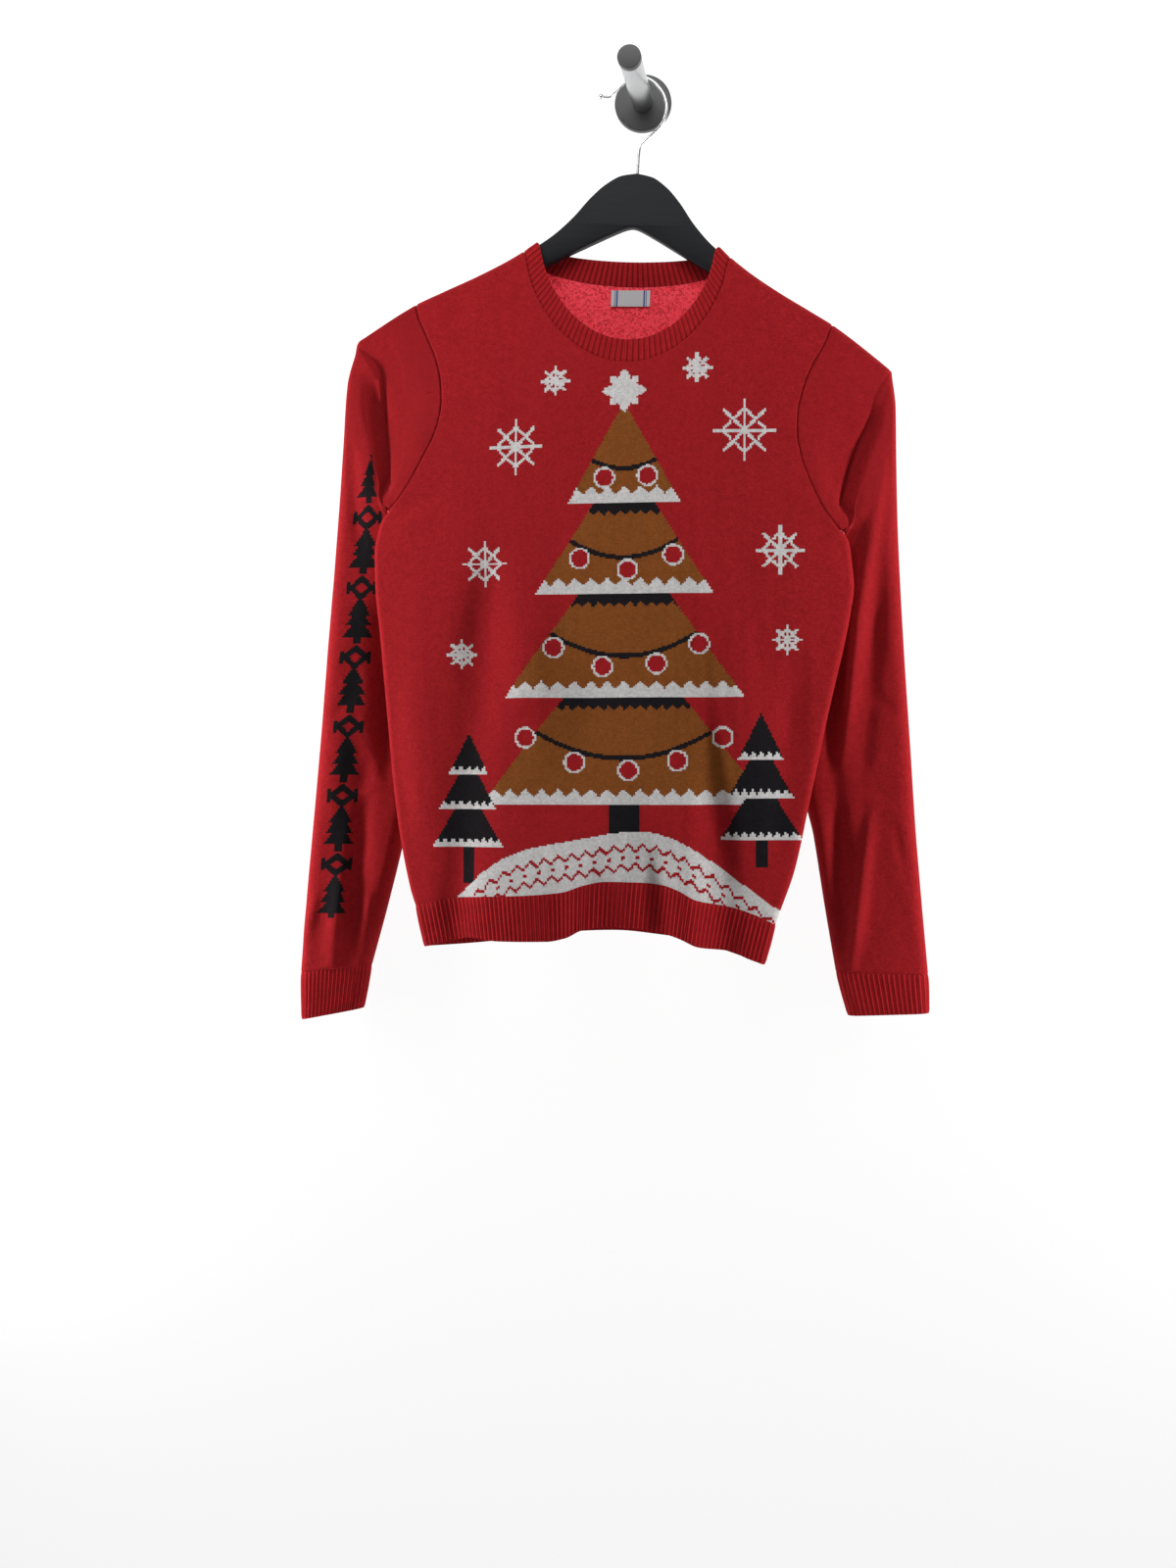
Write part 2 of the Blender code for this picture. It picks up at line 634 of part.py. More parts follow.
def tube_ring(row, around):
    """Ring of a hanging sleeve: around runs from the outer edge over the front to the inner
    edge at 0.5, then back behind."""
    across = np.where(around <= 0.5, 2 * around, 2 - 2 * around)
    front = np.where(around <= 0.5, -1, 1)
    x = row["outer_x"] + (row["inner_x"] - row["outer_x"]) * across
    height = row["outer_height"] + (row["inner_height"] - row["outer_height"]) * across
    middle = row["outer_depth"] + (row["inner_depth"] - row["outer_depth"]) * across
    width = math.hypot(row["outer_x"] - row["inner_x"], row["outer_height"] - row["inner_height"])
    half = row["half"] + (row["inner_half"] - row["half"]) * ease(across, 0.55, 1.0)
    bulge = edge_swell(across, width, half)
    return np.stack([x, middle + front * half * bulge, height], -1)


def fanned(side, ring, across, flat):
    """Ends of a ring turned to point at the armpit; also the depth that the ring ends at."""
    points = seam_frame(side, "front")[0]
    start, out = points[-1], -1 if side == "right" else 1
    last = start[[0, 2]] - points[-2, [0, 2]]
    centre = start[[0, 2]] + FAN_RADIUS * last / np.linalg.norm(last)
    angle = math.radians(FAN["angle"][ring])
    heading = np.array([out * math.cos(angle), math.sin(angle)])
    distance = FAN_RADIUS + FAN["length"][ring] * (1 - across)
    share = ease(across, 0.8, 0.985)[:, None]
    turned = flat + (centre + distance[:, None] * heading - flat) * share
    return turned, start[1] + SEAM_GAP / 2 + FAN["depth"][ring]


def fold_line(side, row, across):
    """Front view of the sleeve's fold, or of the valley outside it, from shoulder to armpit."""
    top = (TUCK_TOPS[side]["x"][row], TUCK_TOPS[side]["height"][row])
    low = seam_line(side)[-1]
    outward = (-1 if side == "right" else 1) * VALLEY_WIDTH * row
    line = [top]
    for part in np.linspace(0.16, 0.93, 9):
        height = top[1] + (low[1] - top[1]) * part
        line.append((edge_x(side, height) + outward, height))
    line.append(low)
    return along(line, across)


def seam_ring(side):
    """Closed ring of the armhole seam on both faces, its normals and its way to the sleeve."""
    front, back = seam_frame(side, "front"), seam_frame(side, "back")
    rings = []
    for ahead, behind in zip(front, back):
        ring = np.concatenate([ahead, behind[-2:0:-1]])
        for end in (0, len(SEAM_STOPS) - 1):
            ring[end] = (ahead[end] + behind[end]) / 2
        rings.append(ring)
    return rings


def cap_rings(side, across, is_front):
    """Rings of the sleeve's cap: the armhole seam, the front layer, its fold and the valley."""
    points, _, beside = seam_ring(side)
    flat_seam = points[:, (0, 2)]
    flat_fold, flat_valley = fold_line(side, 0, across), fold_line(side, 1, across)
    span = np.linalg.norm(flat_fold - flat_seam, axis=1) + 0.01
    away = np.sin(math.pi * np.clip(across, 0, 1)) ** 0.5
    sign = np.where(is_front, -1, 1)
    end_half = ARMPIT_HALF * rounded((1 - across) * ARMHOLE_LENGTH, ARMPIT_HALF, 2)
    end_share = ease(across, 0.8, 0.985)
    rings = [points + SEAM_GAP / 2 * beside]
    for ring, (share, tucked, end_gap) in enumerate(CAP_RINGS):
        part = share - np.maximum(end_gap * (1 - away), np.minimum(tucked / span, end_gap))
        flat = flat_seam + (flat_fold - flat_seam) * part[:, None]
        flat[0, 1] = ridge_height(flat[0, 0])
        flat, end_depth = fanned(side, ring, across, flat)
        front = layer_depth("front", flat[:, 0], flat[:, 1])
        seam_back = layer_depth("back", flat_seam[:, 0], flat_seam[:, 1])
        drop = ridge_height(flat[:, 0]) - flat[:, 1]
        fold_back = HANGER_PLANE + (
            smooth(drop, TUCK_BACK_DEPTH["drop"], TUCK_BACK_DEPTH["depth"]) - HANGER_PLANE
        ) * rounded(drop * 0.87, RIDGE_ROLL, 2.4)
        back = seam_back + (fold_back - seam_back) * part
        depth = np.where(is_front, front, back)
        depth[0] = HANGER_PLANE
        depth = depth + (end_depth + sign * end_half - depth) * end_share
        rings.append(np.stack([flat[:, 0], depth, flat[:, 1]], -1))
    flat, end_depth = fanned(side, len(CAP_RINGS), across, flat_valley)
    swell = edge_swell(across, 150, 8)
    depth = HANGER_PLANE + (end_depth - HANGER_PLANE) * across
    tip = 1 - ease(across, 0.0, 0.22)
    depth = depth - np.where(is_front, VALLEY_STEP + tip * (TIP_HALF - VALLEY_STEP),
                             -VALLEY_BACK) * swell
    depth = depth + (end_depth + sign * end_half - depth) * end_share
    rings.append(np.stack([flat[:, 0], depth, flat[:, 1]], -1))
    return rings


def sleeve_walls(side):
    """Outer and inner points of a sleeve, ring by ring from the armhole to the cuff."""
    around = np.concatenate([SEAM_STOPS, 2 - SEAM_STOPS[-2:0:-1]]) / 2
    across = np.where(around <= 0.5, 2 * around, 2 - 2 * around)
    rings = cap_rings(side, across, around < 0.5)
    count = len(SLEEVE[side]["half"])
    for index in range(count):
        row = {key: float(values[index]) for key, values in SLEEVE[side].items()}
        ring = tube_ring(row, around)
        if len(rings) <= len(FAN["angle"]):
            ring[:, (0, 2)], _ = fanned(side, len(rings) - 1, across, ring[:, (0, 2)])
        rings.append(ring)
    outer = np.array(rings)
    out = 1 if side == "left" else -1
    normal = grid_normals(outer, closed=True) * -out
    normal[0] = seam_ring(side)[1]
    normal[-1, :, 2] = 0
    normal /= np.linalg.norm(normal, axis=-1, keepdims=True)
    return outer, outer - CLOTH * normal


def cuff_walls(side, sleeve):
    """Walls of a cuff, sewn to a sleeve's last ring."""
    outer, inner = sleeve[0][-1], sleeve[1][-1]
    places = even_places(outer, 2 * CUFF_RIBS, closed=True)
    row = {key: float(values[0]) for key, values in CUFF_EDGE[side].items()}
    fine = np.linspace(0, 1, 1201)[:-1]
    behind = fine > 0.5
    turn = (1 - np.cos(2 * math.pi * (fine - 0.5 * behind))) / 4 + 0.5 * behind
    ring = tube_ring(row, turn)
    free = at_places(ring, even_places(ring, 2 * CUFF_RIBS, closed=True), closed=True)
    upward = (0, 0, 1) if side == "right" else (0, 0, -1)
    normal = line_normals(free, upward, closed=True)
    return ribbed_walls(at_places(outer, places, True), at_places(inner, places, True),
                        free, normal)


# Label
def add_label(name, material):
    """The woven label on the inside of the back, made from the panel's own points."""
    width, height = LABEL_SIZE
    across = np.linspace(-width / 2, width / 2, 7)
    down = np.linspace(0, -height, 4)
    cos, sin = math.cos(LABEL_TILT), math.sin(LABEL_TILT)
    x = LABEL_TOP[0] + across[None, :] * cos - down[:, None] * sin
    z = LABEL_TOP[1] + across[None, :] * sin + down[:, None] * cos
    panel = np.stack([x, layer_depth("back", x, z), z], -1)
    normal = layer_normal("back", x, z)
    near = panel - (CLOTH + LABEL_GAP) * normal
    return add_wall(name, (near, near - LABEL_THICKNESS * normal), material)


# Hanger
def hanger_outline():
    """Half outline of the hanger from its apex out, round the tip and back to the middle."""
    out = np.array([0, 8, 17, 26, 35, 44, 53, 62, 72, 84, 105, 131, 158, 186, 204, 212])
    top = [(x, float(smooth(x, HANGER_TOP["out"], HANGER_TOP["height"]))) for x in out]
    tip = []
    for angle in np.radians(np.linspace(50, -112, 7)):
        tip.append((HANGER_TIP_CENTRE[0] + HANGER_TIP_RADIUS * math.cos(angle),
                    HANGER_TIP_CENTRE[1] + HANGER_TIP_RADIUS * math.sin(angle)))
    low = [(x, HANGER_V_HEIGHT - HANGER_V_SLOPE * math.hypot(x, 6) + 3)
           for x in (200, 150, 100, 60, 30, 14, 5)]
    return top + tip + low


def add_hanger(name, material):
    """The flat hanger: one outline, with its long edges rounded over."""
    half = hanger_outline()
    mirrored = [(-x, z) for x, z in half[:0:-1]]
    outline = np.array([from_hanger(x, z) for x, z in half + [(0, half_low())] + mirrored])
    ahead = np.roll(outline, -1, axis=0) - np.roll(outline, 1, axis=0)
    ahead /= np.linalg.norm(ahead, axis=1, keepdims=True)
    inward = np.stack([ahead[:, 1], -ahead[:, 0]], -1)
    thickness = HANGER_THICKNESS / 2
    profile = [(HANGER_EDGE, thickness), (0, thickness - HANGER_EDGE),
               (0, HANGER_EDGE - thickness), (HANGER_EDGE, -thickness)]
    count = len(outline)
    points, faces = [], []
    for inset, depth in profile:
        ring = outline + inward * inset
        points += [(x, HANGER_PLANE - depth, z) for x, z in ring]
    for ring in range(len(profile) - 1):
        for index in range(count):
            after = (index + 1) % count
            faces.append((ring * count + index, ring * count + after,
                          (ring + 1) * count + after, (ring + 1) * count + index))
    faces.append(tuple(range(count))[::-1])
    faces.append(tuple(range((len(profile) - 1) * count, len(profile) * count)))
    return add_object(name, points, faces, material)


def half_low():
    """Height of the hanger's lower edge at its middle."""
    return HANGER_V_HEIGHT - HANGER_V_SLOPE * 6 + 3


def tube(line, radii, sides):
    """A tube of round rings along a line, closed at both ends."""
    line = np.asarray(line, float)
    direction = np.gradient(line, axis=0)
    direction /= np.linalg.norm(direction, axis=1, keepdims=True)
    across = np.array([0.0, 1.0, 0.0])
    points, faces = [], []
    for place, heading, radius in zip(line, direction, radii):
        upright = np.cross(heading, across)
        for side in range(sides):
            angle = 2 * math.pi * side / sides
            points.append(place + radius * (math.cos(angle) * across + math.sin(angle) * upright))
    rings = len(line)
    for ring in range(rings - 1):
        for side in range(sides):
            after = (side + 1) % sides
            faces.append((ring * sides + side, ring * sides + after,
                          (ring + 1) * sides + after, (ring + 1) * sides + side))
    faces.append(tuple(range(sides))[::-1])
    faces.append(tuple(range((rings - 1) * sides, rings * sides)))
    return points, faces


def add_hook(name, material):
    """The wire hook, with a small ball at its free end."""
    flat = along(np.stack([HOOK_WIRE["x"], HOOK_WIRE["height"]], -1), np.linspace(0, 1, 33))
    line = np.stack([flat[:, 0], np.full(len(flat), HANGER_PLANE), flat[:, 1]], -1)
    radii = [WIRE_RADIUS] * len(line)
    heading = (line[-1] - line[-2]) / np.linalg.norm(line[-1] - line[-2])
    ball = []
    for angle in np.radians((45, 75, 105, 135, 162)):
        ball.append(line[-1] + heading * BALL_RADIUS * (1 - math.cos(angle)))
        radii.append(BALL_RADIUS * math.sin(angle))
    line = np.concatenate([line, ball])
    points, faces = tube(line, radii, 8)
    return add_object(name, points, faces, material)


# Wall peg
def add_turned(name, profile, sides, material):
    """A piece turned about the peg's axis from a table of radius and depth."""
    points, faces = [], []
    for radius, depth in profile:
        for side in range(sides):
            angle = 2 * math.pi * side / sides
            points.append((radius * math.cos(angle), depth, radius * math.sin(angle)))
    for ring in range(len(profile) - 1):
        for side in range(sides):
            after = (side + 1) % sides
            faces.append((ring * sides + side, ring * sides + after,
                          (ring + 1) * sides + after, (ring + 1) * sides + side))
    faces.append(tuple(range(sides))[::-1])
    faces.append(tuple(range((len(profile) - 1) * sides, len(profile) * sides)))
    return add_object(name, points, faces, material)


def add_peg(black, steel):
    """Wall plate, rod and end cap, one behind the other."""
    edge = 1.0
    add_turned("wall_plate", [(PLATE_RADIUS, 0), (PLATE_RADIUS, edge - PLATE_THICKNESS),
                              (PLATE_RADIUS - edge, -PLATE_THICKNESS)], 40, black)
    rod_start, rod_end = -PLATE_THICKNESS - FACE_GAP, CAP_LENGTH + FACE_GAP - PEG_LENGTH
    add_turned("peg_rod", [(ROD_RADIUS, rod_start), (ROD_RADIUS, rod_end)], 28, steel)
    add_turned("peg_cap", [(CAP_RADIUS, CAP_LENGTH - PEG_LENGTH),
                           (CAP_RADIUS, edge - PEG_LENGTH),
                           (CAP_RADIUS - edge, -PEG_LENGTH)], 28, black)


def main():
    """Clear the scene and build every piece."""
    for old in list(bpy.data.objects):
        bpy.data.objects.remove(old, do_unlink=True)
    knit = make_material("red_knit", RED, 0.9)
    ribbed = make_material("red_rib", RED, 0.9)
    woven = make_material("label_cloth", WHITE, 0.85)
    wood = make_material("black_wood", BLACK, 0.6)
    wire = make_material("hook_steel", STEEL, 0.25, 1.0)
    chrome = make_material("peg_steel", STEEL, 0.3, 1.0)
    plastic = make_material("black_plastic", BLACK, 0.5)
    front, back = panel_walls("front"), panel_walls("back")
    add_wall("front_panel", front[:2], knit, turned=True)
    add_wall("back_panel", back[:2], knit)
    add_wall("neckband", neck_walls(front, back), ribbed, closed=True)
    add_wall("hem_rib_front", hem_walls("front", front), ribbed, turned=True)
    add_wall("hem_rib_back", hem_walls("back", back), ribbed)
    for side in ("right", "left"):
        sleeve = sleeve_walls(side)
        add_wall(side + "_sleeve", sleeve, knit, closed=True, turned=side == "right")
        cuff = cuff_walls(side, sleeve)
        add_wall(side + "_cuff", cuff, ribbed, closed=True, turned=side == "right")
    add_label("neck_label", woven)
    add_hanger("hanger_body", wood)
    add_hook("hanger_hook", wire)
    add_peg(plastic, chrome)


main()
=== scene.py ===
"""Looks of the knitted christmas sweater that hangs on a flat hanger from a wall peg.

Every cloth piece is a thin shell on the form of its solid, with creases added. The form's
functions and tables repeat those of the solids, in millimetres, on a finer grid.
Some rows of LAYER, LAYER_EDGE, SLEEVE and FAN are refined, and differ from theirs.
"""
import functools
import math
import operator

import bpy
import numpy as np
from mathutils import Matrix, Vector


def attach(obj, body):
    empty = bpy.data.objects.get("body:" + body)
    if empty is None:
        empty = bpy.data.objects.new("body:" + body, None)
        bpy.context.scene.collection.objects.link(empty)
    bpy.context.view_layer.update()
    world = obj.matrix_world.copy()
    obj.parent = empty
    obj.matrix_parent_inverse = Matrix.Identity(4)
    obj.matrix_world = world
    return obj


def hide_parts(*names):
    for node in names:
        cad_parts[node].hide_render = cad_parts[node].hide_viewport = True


METRES = 0.001
TINY = 1e-9

# Which way each face looks in depth, each side in width, and its column in a panel's grid
FACING = {"front": -1, "back": 1}
OUTWARD = {"right": -1, "left": 1}
SIDE_COLUMN = {"right": 0, "left": -1}

# Sizes shared with the solids
CLOTH = 1.8
RIB_RISE = 0.8
HANGER_PLANE = -36.0
HANGER_APEX = (-1.2, -73.3)
HANGER_ROLL = math.radians(5.2)
HANGER_THICKNESS = 10.0
CLOTH_OVER_HANGER = 3.4
NECK_HALF = 70.0
RIDGE_ROLL = 8.2
RIDGE_SPREAD = 0.87
RIDGE_POWER = 2.4
RIDGE_ROUNDS = 6
FOLD_ROLL = 5.0
HEM_RIBS = 84
CUFF_RIBS = 40
NECK_RIBS = {"front": 58, "back": 42}
LABEL_SIZE = (34.0, 14.0)
LABEL_GAP = 0.6
LABEL_TOP = (-8.0, -171.0)
LABEL_TILT = math.radians(-2.0)
PLATE_RADIUS = 25.0
PLATE_THICKNESS = 6.0
ROD_RADIUS = 9.5
CAP_RADIUS = 10.0
CAP_LENGTH = 7.0
PEG_LENGTH = 112.0
WIRE_RADIUS = 1.35
BALL_RADIUS = 2.3
FACE_GAP = 0.3

# Sizes that differ from the solids'
SEAM_GAP = 0.06
HANGER_EDGE = 1.6
LABEL_THICKNESS = 0.5

# Sizes of the looks alone
PLATE_EDGE = 1.2
CAP_EDGE = 0.9
CAP_BEVEL = 0.4
WALE = 1.72
COURSE = 1.36
RIB_PITCH = 2 * WALE
FINER_SEAM = 5
FINER_ACROSS = 4
LOW_ROWS = 100
SLEEVE_RINGS = 190
RIB_POINTS = 8
RIB_ROWS = 12
SEAM_DIP = 0.9
SEAM_SPREAD = 1.0
# How far down a sleeve from its armhole seam its rows of painted shade reach
SEAM_SHADE = 0.5
CAP_LEAN = 7.0
SHARP_ANGLE = math.radians(62)
LABEL_CURL = 0.5
LABEL_STRIPES = ((11.2, 12.6), (13.4, 14.0))

# Counts of points along lines and round turned pieces
SHOULDER_STOPS = 5
HEM_POINTS = 1601
NECK_POINTS = 801
CUFF_POINTS = 2401
LABEL_COLUMNS = 35
LABEL_ROWS = 15
WIRE_RINGS = 150
WIRE_SIDES = 20
TURNED_SIDES = 96

# A sleeve's rings: how near its ends some lie, and how near each other they may lie
CLOSE_IN = np.array([0.25, 0.5, 0.75, 1.1, 1.6, 2.2])
CLOSEST_RINGS = 0.12

# Ribbed bands: how far they are drawn in at the seam and rolled at the free edge
BAND_DIP = {"neck": 0.5, "hem": 0.1}
BAND_START = 0.1
BAND_END = (0.9, 1.0)
BAND_ROLL = {"outer": 0.35, "inner": 0.3}
BAND_GROOVE = 0.4
BAND_WAVE = {"hem": 0.25, "neck": 0.15, "cuff": 0.2}
BAND_HEIGHT = {"hem": 40, "neck": 20, "cuff": 38}
RIB_POWER = 0.75
RIB_FADE_IN = (-0.12, 0.16)
RIB_FADE_OUT = (0.93, 1.05)
RIB_FLATTER = 0.55
SWAY_TURN = 0.037
SWAY_SHIFT = 4

# The body's layers: their bulge, where folds and creases fade out, and how normals are taken
BULGE_POWER = 2.2
FOLD_MARGIN = 30.0
FOLD_DEEPEST = 730.0
FREE_OF_RIDGE = (4, 30)
FREE_OF_SIDE = (1, 14)
SIDE_PULL = 1.5
NORMAL_STEP = 0.004
AT_EDGE = 0.02

# Unevenness of hanging knit: wave lengths across and down, phase, and size
RIPPLES = ((71, 190, 0.0, 0.20), (43, -97, 1.7, 0.13), (26, 61, 4.1, 0.08),
           (15.5, -33, 2.6, 0.05), (9.7, 21, 0.8, 0.03))
RIPPLE_SEED = {"front": 0, "back": 2, "sleeve": 1.3}

# Material slots of a sleeve beside its right side and its inside: its rows along the armhole seam
# in painted shade, and plain knit
SEAM_SHADE_SLOT = 2
PLAIN_SLOT = 3


def table(columns, *rows):
    """Rows of numbers under named columns."""
    return dict(zip(columns.split(), np.array(rows, float).T))


# Top edge of the hanger from its middle outwards, in the hanger's own frame
HANGER_TOP = table(
    "out height",
    (0, 0), (13, -2.5), (26, -10.3), (39, -23.3), (52, -40), (67, -55.5),
    (82, -67.3), (105, -83.5), (131, -98.7), (158, -112.8), (186, -127.8), (208, -142.8),
    (232, -160))
# Stops along the top edge, as last and count, then round the tip, as first, last and count
HANGER_TOP_STOPS = (208, 105)
HANGER_TIP_TURN = (50, -112, 19)
# The lower edge, a V with a rounded middle
HANGER_V_LEVEL = -43.5
HANGER_V_SLOPE = 0.54
HANGER_V_ROUND = 6.0
HANGER_V_STOPS = (200, 175, 150, 125, 100, 80, 60, 45, 30, 21, 14, 9, 5, 2, 0)
HANGER_TIP_CENTRE = (212.0, -157.5)
HANGER_TIP_RADIUS = 8.5

# Middle line of the hook's wire at the hanger plane, from its seat on the hanger to the ball
HOOK_WIRE = table(
    "x height",
    (-1.2, HANGER_APEX[1] + FACE_GAP), (-0.4, -58), (0.6, -50), (4, -45.5), (12, -38.5),
    (18.5, -32), (22.5, -24.5), (23.8, -16), (22, -7), (17.5, 1), (10, 8.2), (1.5, 11.4),
    (-7, 10.4), (-14.5, 5), (-21, -0.8), (-26.5, -4.6), (-31, -4.2))
# Stops round its ball, as first, last and count
BALL_TURN = (42, 172, 14)

# Armhole seams in the front view, from the shoulder down to the armpit
ARMHOLE = {
    "right": table(
        "x height",
        (-196, -181), (-192, -194), (-186, -207), (-176, -231), (-172, -250), (-171, -267),
        (-173, -282), (-178, -297), (-188, -316), (-198, -334), (-209, -350), (-218, -360)),
    "left": table(
        "x height",
        (166, -210), (159, -227), (148, -247), (140, -269), (136.5, -285), (136, -301),
        (139, -320), (146, -341), (156, -362), (165, -376), (173, -386)),
}

# Outer edge of the front layer: the sleeve's fold, then the side of the body, down to the hem
LAYER_EDGE = {
    "right": table(
        "height x",
        (-200, -247), (-230, -229), (-257, -223), (-287, -222), (-321, -220), (-340, -219),
        (-360, -218.5), (-368, -225), (-378, -228.5), (-397, -232), (-425, -231.5), (-471, -227),
        (-548, -220), (-626, -212), (-691, -200), (-706, -195.5), (-743, -187)),
    "left": table(
        "height x",
        (-236, 214), (-250, 209), (-262, 202), (-287, 196), (-315, 184), (-343, 176.5),
        (-365, 172), (-386, 173.5), (-391, 178), (-399, 180.5), (-415, 182.5), (-433, 184),
        (-455, 181), (-542, 162), (-618, 146), (-673, 134), (-719, 118), (-753, 108.5)),
}

# Bottom edges of the body's panels and of its rib
RIB_TOP = {
    "front": table(
        "x height",
        (-195.5, -706), (-154, -698), (-97, -695.5), (-63, -692.5), (-45, -686.5), (-25, -683),
        (0, -683.5), (21, -685.5), (36, -690), (52, -698.5), (83, -705), (102, -711.5),
        (118, -719.5)),
    "back": table(
        "x height",
        (-195.5, -706), (-140, -700), (-80, -693), (-20, -690), (40, -695), (90, -708),
        (118, -719.5)),
}
HEM = {
    "front": table(
        "x height",
        (-187, -741.5), (-165, -736.5), (-145, -732.5), (-118, -735), (-75, -734.5),
        (-60, -731.5), (-45, -724.5), (-25, -721.5), (0, -722.5), (20, -726), (38, -731),
        (55, -738.5), (80, -742), (97, -749), (109, -753.5)),
    "back": table(
        "x height",
        (-187, -741.5), (-140, -738), (-80, -731), (-20, -727.5), (40, -733), (80, -744),
        (109, -753.5)),
}

# Depth of the front and back layers by how far a point hangs below the shoulder line
LAYER = table(
    "drop front back front_tuck back_tuck front_full back_full",
    (0, -46.5, -25.5, 0, 0, 0, 0),
    (30, -46.5, -25.5, 0.2, 0, 2, 0),
    (60, -47, -26, 1.2, 1, 5, 0.5),
    (100, -47.5, -27.5, 3.2, 2.4, 8, 1.5),
    (130, -48, -30, 5, 4, 10, 3),
    (150, -48.5, -34, 5, 5, 11, 5),
    (175, -49, -39, 5, 5, 12, 10),
    (260, -49, -39, 5, 5, 14, 17),
    (400, -49, -39, 5, 5, 17, 21),
    (560, -49, -39, 5, 5, 18, 22))

# Soft folds that hang in the front and back layers, deepest at the hem
FOLDS = {
    "front": table(
        "x_low x_high top depth width",
        (-158, -150, -560, -5.0, 15),
        (-100, -112, -430, 3.0, 26),
        (-46, -40, -520, 4.5, 14),
        (16, 8, -540, -5.5, 15),
        (44, 34, -560, 5.0, 12),
        (74, 66, -520, -5.5, 15)),
    "back": table(
        "x_low x_high top depth width",
        (-120, -112, -480, -4.0, 22),
        (-62, -50, -420, 4.0, 20),
        (10, 4, -520, -5.0, 18),
        (62, 70, -460, 4.0, 18)),
}

# Where the sleeves hang free: outer and inner edge, their depth, and half the tube's thickness
SLEEVE_COLUMNS = "outer_x outer_height inner_x inner_height outer_depth inner_depth half inner_half"
SLEEVE = {
    "right": table(
        SLEEVE_COLUMNS,
        (-250.8, -220.5, -222, -361, -36, -41.8, 9, 5),
        (-258, -246, -222, -362, -35.5, -41.2, 9, 5),
        (-262, -292, -222, -363, -34, -40.6, 9, 5),
        (-267, -352, -214, -373, -31.5, -35, 10, 6),
        (-272, -410, -212, -405, -29.5, -27, 10.5, 8),
        (-278, -475, -207, -465, -28, -21, 11, 11),
        (-284, -548, -200, -585, -27, -16.5, 11.5, 11.5),
        (-291, -622, -210, -637, -26.5, -15.5, 11.5, 11.5),
        (-298, -697, -226, -703, -26.5, -16.5, 11, 11),
        (-303.5, -767, -241.5, -761, -27, -18, 10, 10)),
    "left": table(
        SLEEVE_COLUMNS,
        (216.2, -256.5, 177.4, -386, -36, -42, 9, 5),
        (219, -280, 177.4, -387, -35, -41.4, 9, 5),
        (219.5, -322, 177.4, -388, -34, -40.8, 9, 5),
        (220.5, -372, 168, -397, -32, -35, 10, 6),
        (223, -430, 168, -428, -29, -28.5, 10.5, 8),
        (227, -500, 155, -490, -27.5, -21.5, 10.5, 10.5),
        (231.5, -568, 141, -600, -26.5, -19, 10.5, 10.5),
        (236, -640, 149.5, -645, -26, -20, 10.5, 10.5),
        (241.5, -706, 159, -705, -26, -21.5, 10, 10),
        (246.5, -762, 168.5, -761, -26, -22.5, 9.5, 9.5)),
}
CUFF_EDGE = {
    "right": table(SLEEVE_COLUMNS, (-302.5, -809, -249, -799, -27, -18, 10.5, 10.5)),
    "left": table(SLEEVE_COLUMNS, (247, -794.5, 179, -798, -26, -22.5, 10, 10)),
}
# The rolled edges of a flattened tube, and where its thickness changes to the inner edge's
SWELL_ROLL = 1.15
SWELL_POWER = 2.2
SWELL_CROWN = 0.08
HALF_CHANGE = (0.55, 1.0)

# Ridge ends of the sleeve's fold, then of the valley just outside it
TUCK_TOPS = {
    "right": table("x height", (-246.5, -211.5), (-250, -214)),
    "left": table("x height", (213, -247.5), (215.5, -250.5)),
}
# Stops down the fold, as first, last and count
FOLD_STOPS = (0.16, 0.93, 9)

# The sleeve's first rings fan out round the armpit
FAN = table(
    "angle depth length inset",
    (118, 0, 200, 0), (100, 0.1, 190, 0), (84, 0.3, 180, 0), (70, 0.6, 168, 0),
    (57, 0.9, 155, 0), (44, 1.3, 140, 0.6), (30, 1.8, 125, 1.5), (15, 2.4, 112, 2.6),
    (0, 3.0, 100, 3.8))
FAN_RADIUS = 1.5
FAN_SHARE = (0.8, 0.985)
ARMHOLE_LENGTH = 200.0
TUCK_BACK_DEPTH = table("drop depth", (0, -26), (60, -26), (100, -27), (140, -29), (180, -32))
CAP_RINGS = ((0.35, 0.0, 0.0), (0.68, 0.0, 0.0), (1.0, 5.0, 0.22), (1.0, 1.6, 0.11),
             (1.0, 0.0, 0.0))
VALLEY_WIDTH = 2.5
VALLEY_STEP = 3.0
VALLEY_BACK = 8.0
VALLEY_SWELL = (150, 8)
TIP_HALF = 9.0
TIP_FADE = (0.12, 0.6)

# Neck loops in the front view: the seam and the band's free edge
NECK_MIDDLE = {"seam": -10.5, "edge": -9.5}
NECK_HALF_WIDTH = {"seam": 90.5, "edge": 78.5}
NECK_FALL = {("front", "seam"): 95.5, ("front", "edge"): 84.5,
             ("back", "seam"): 25.0, ("back", "edge"): 12.5}
NECK_FLARE = 3.0
NECK_SQUARENESS = {"front": 1.15, "back": 1.0}
BAND_LEAN = {"front": 4.0, "back": -3.0}

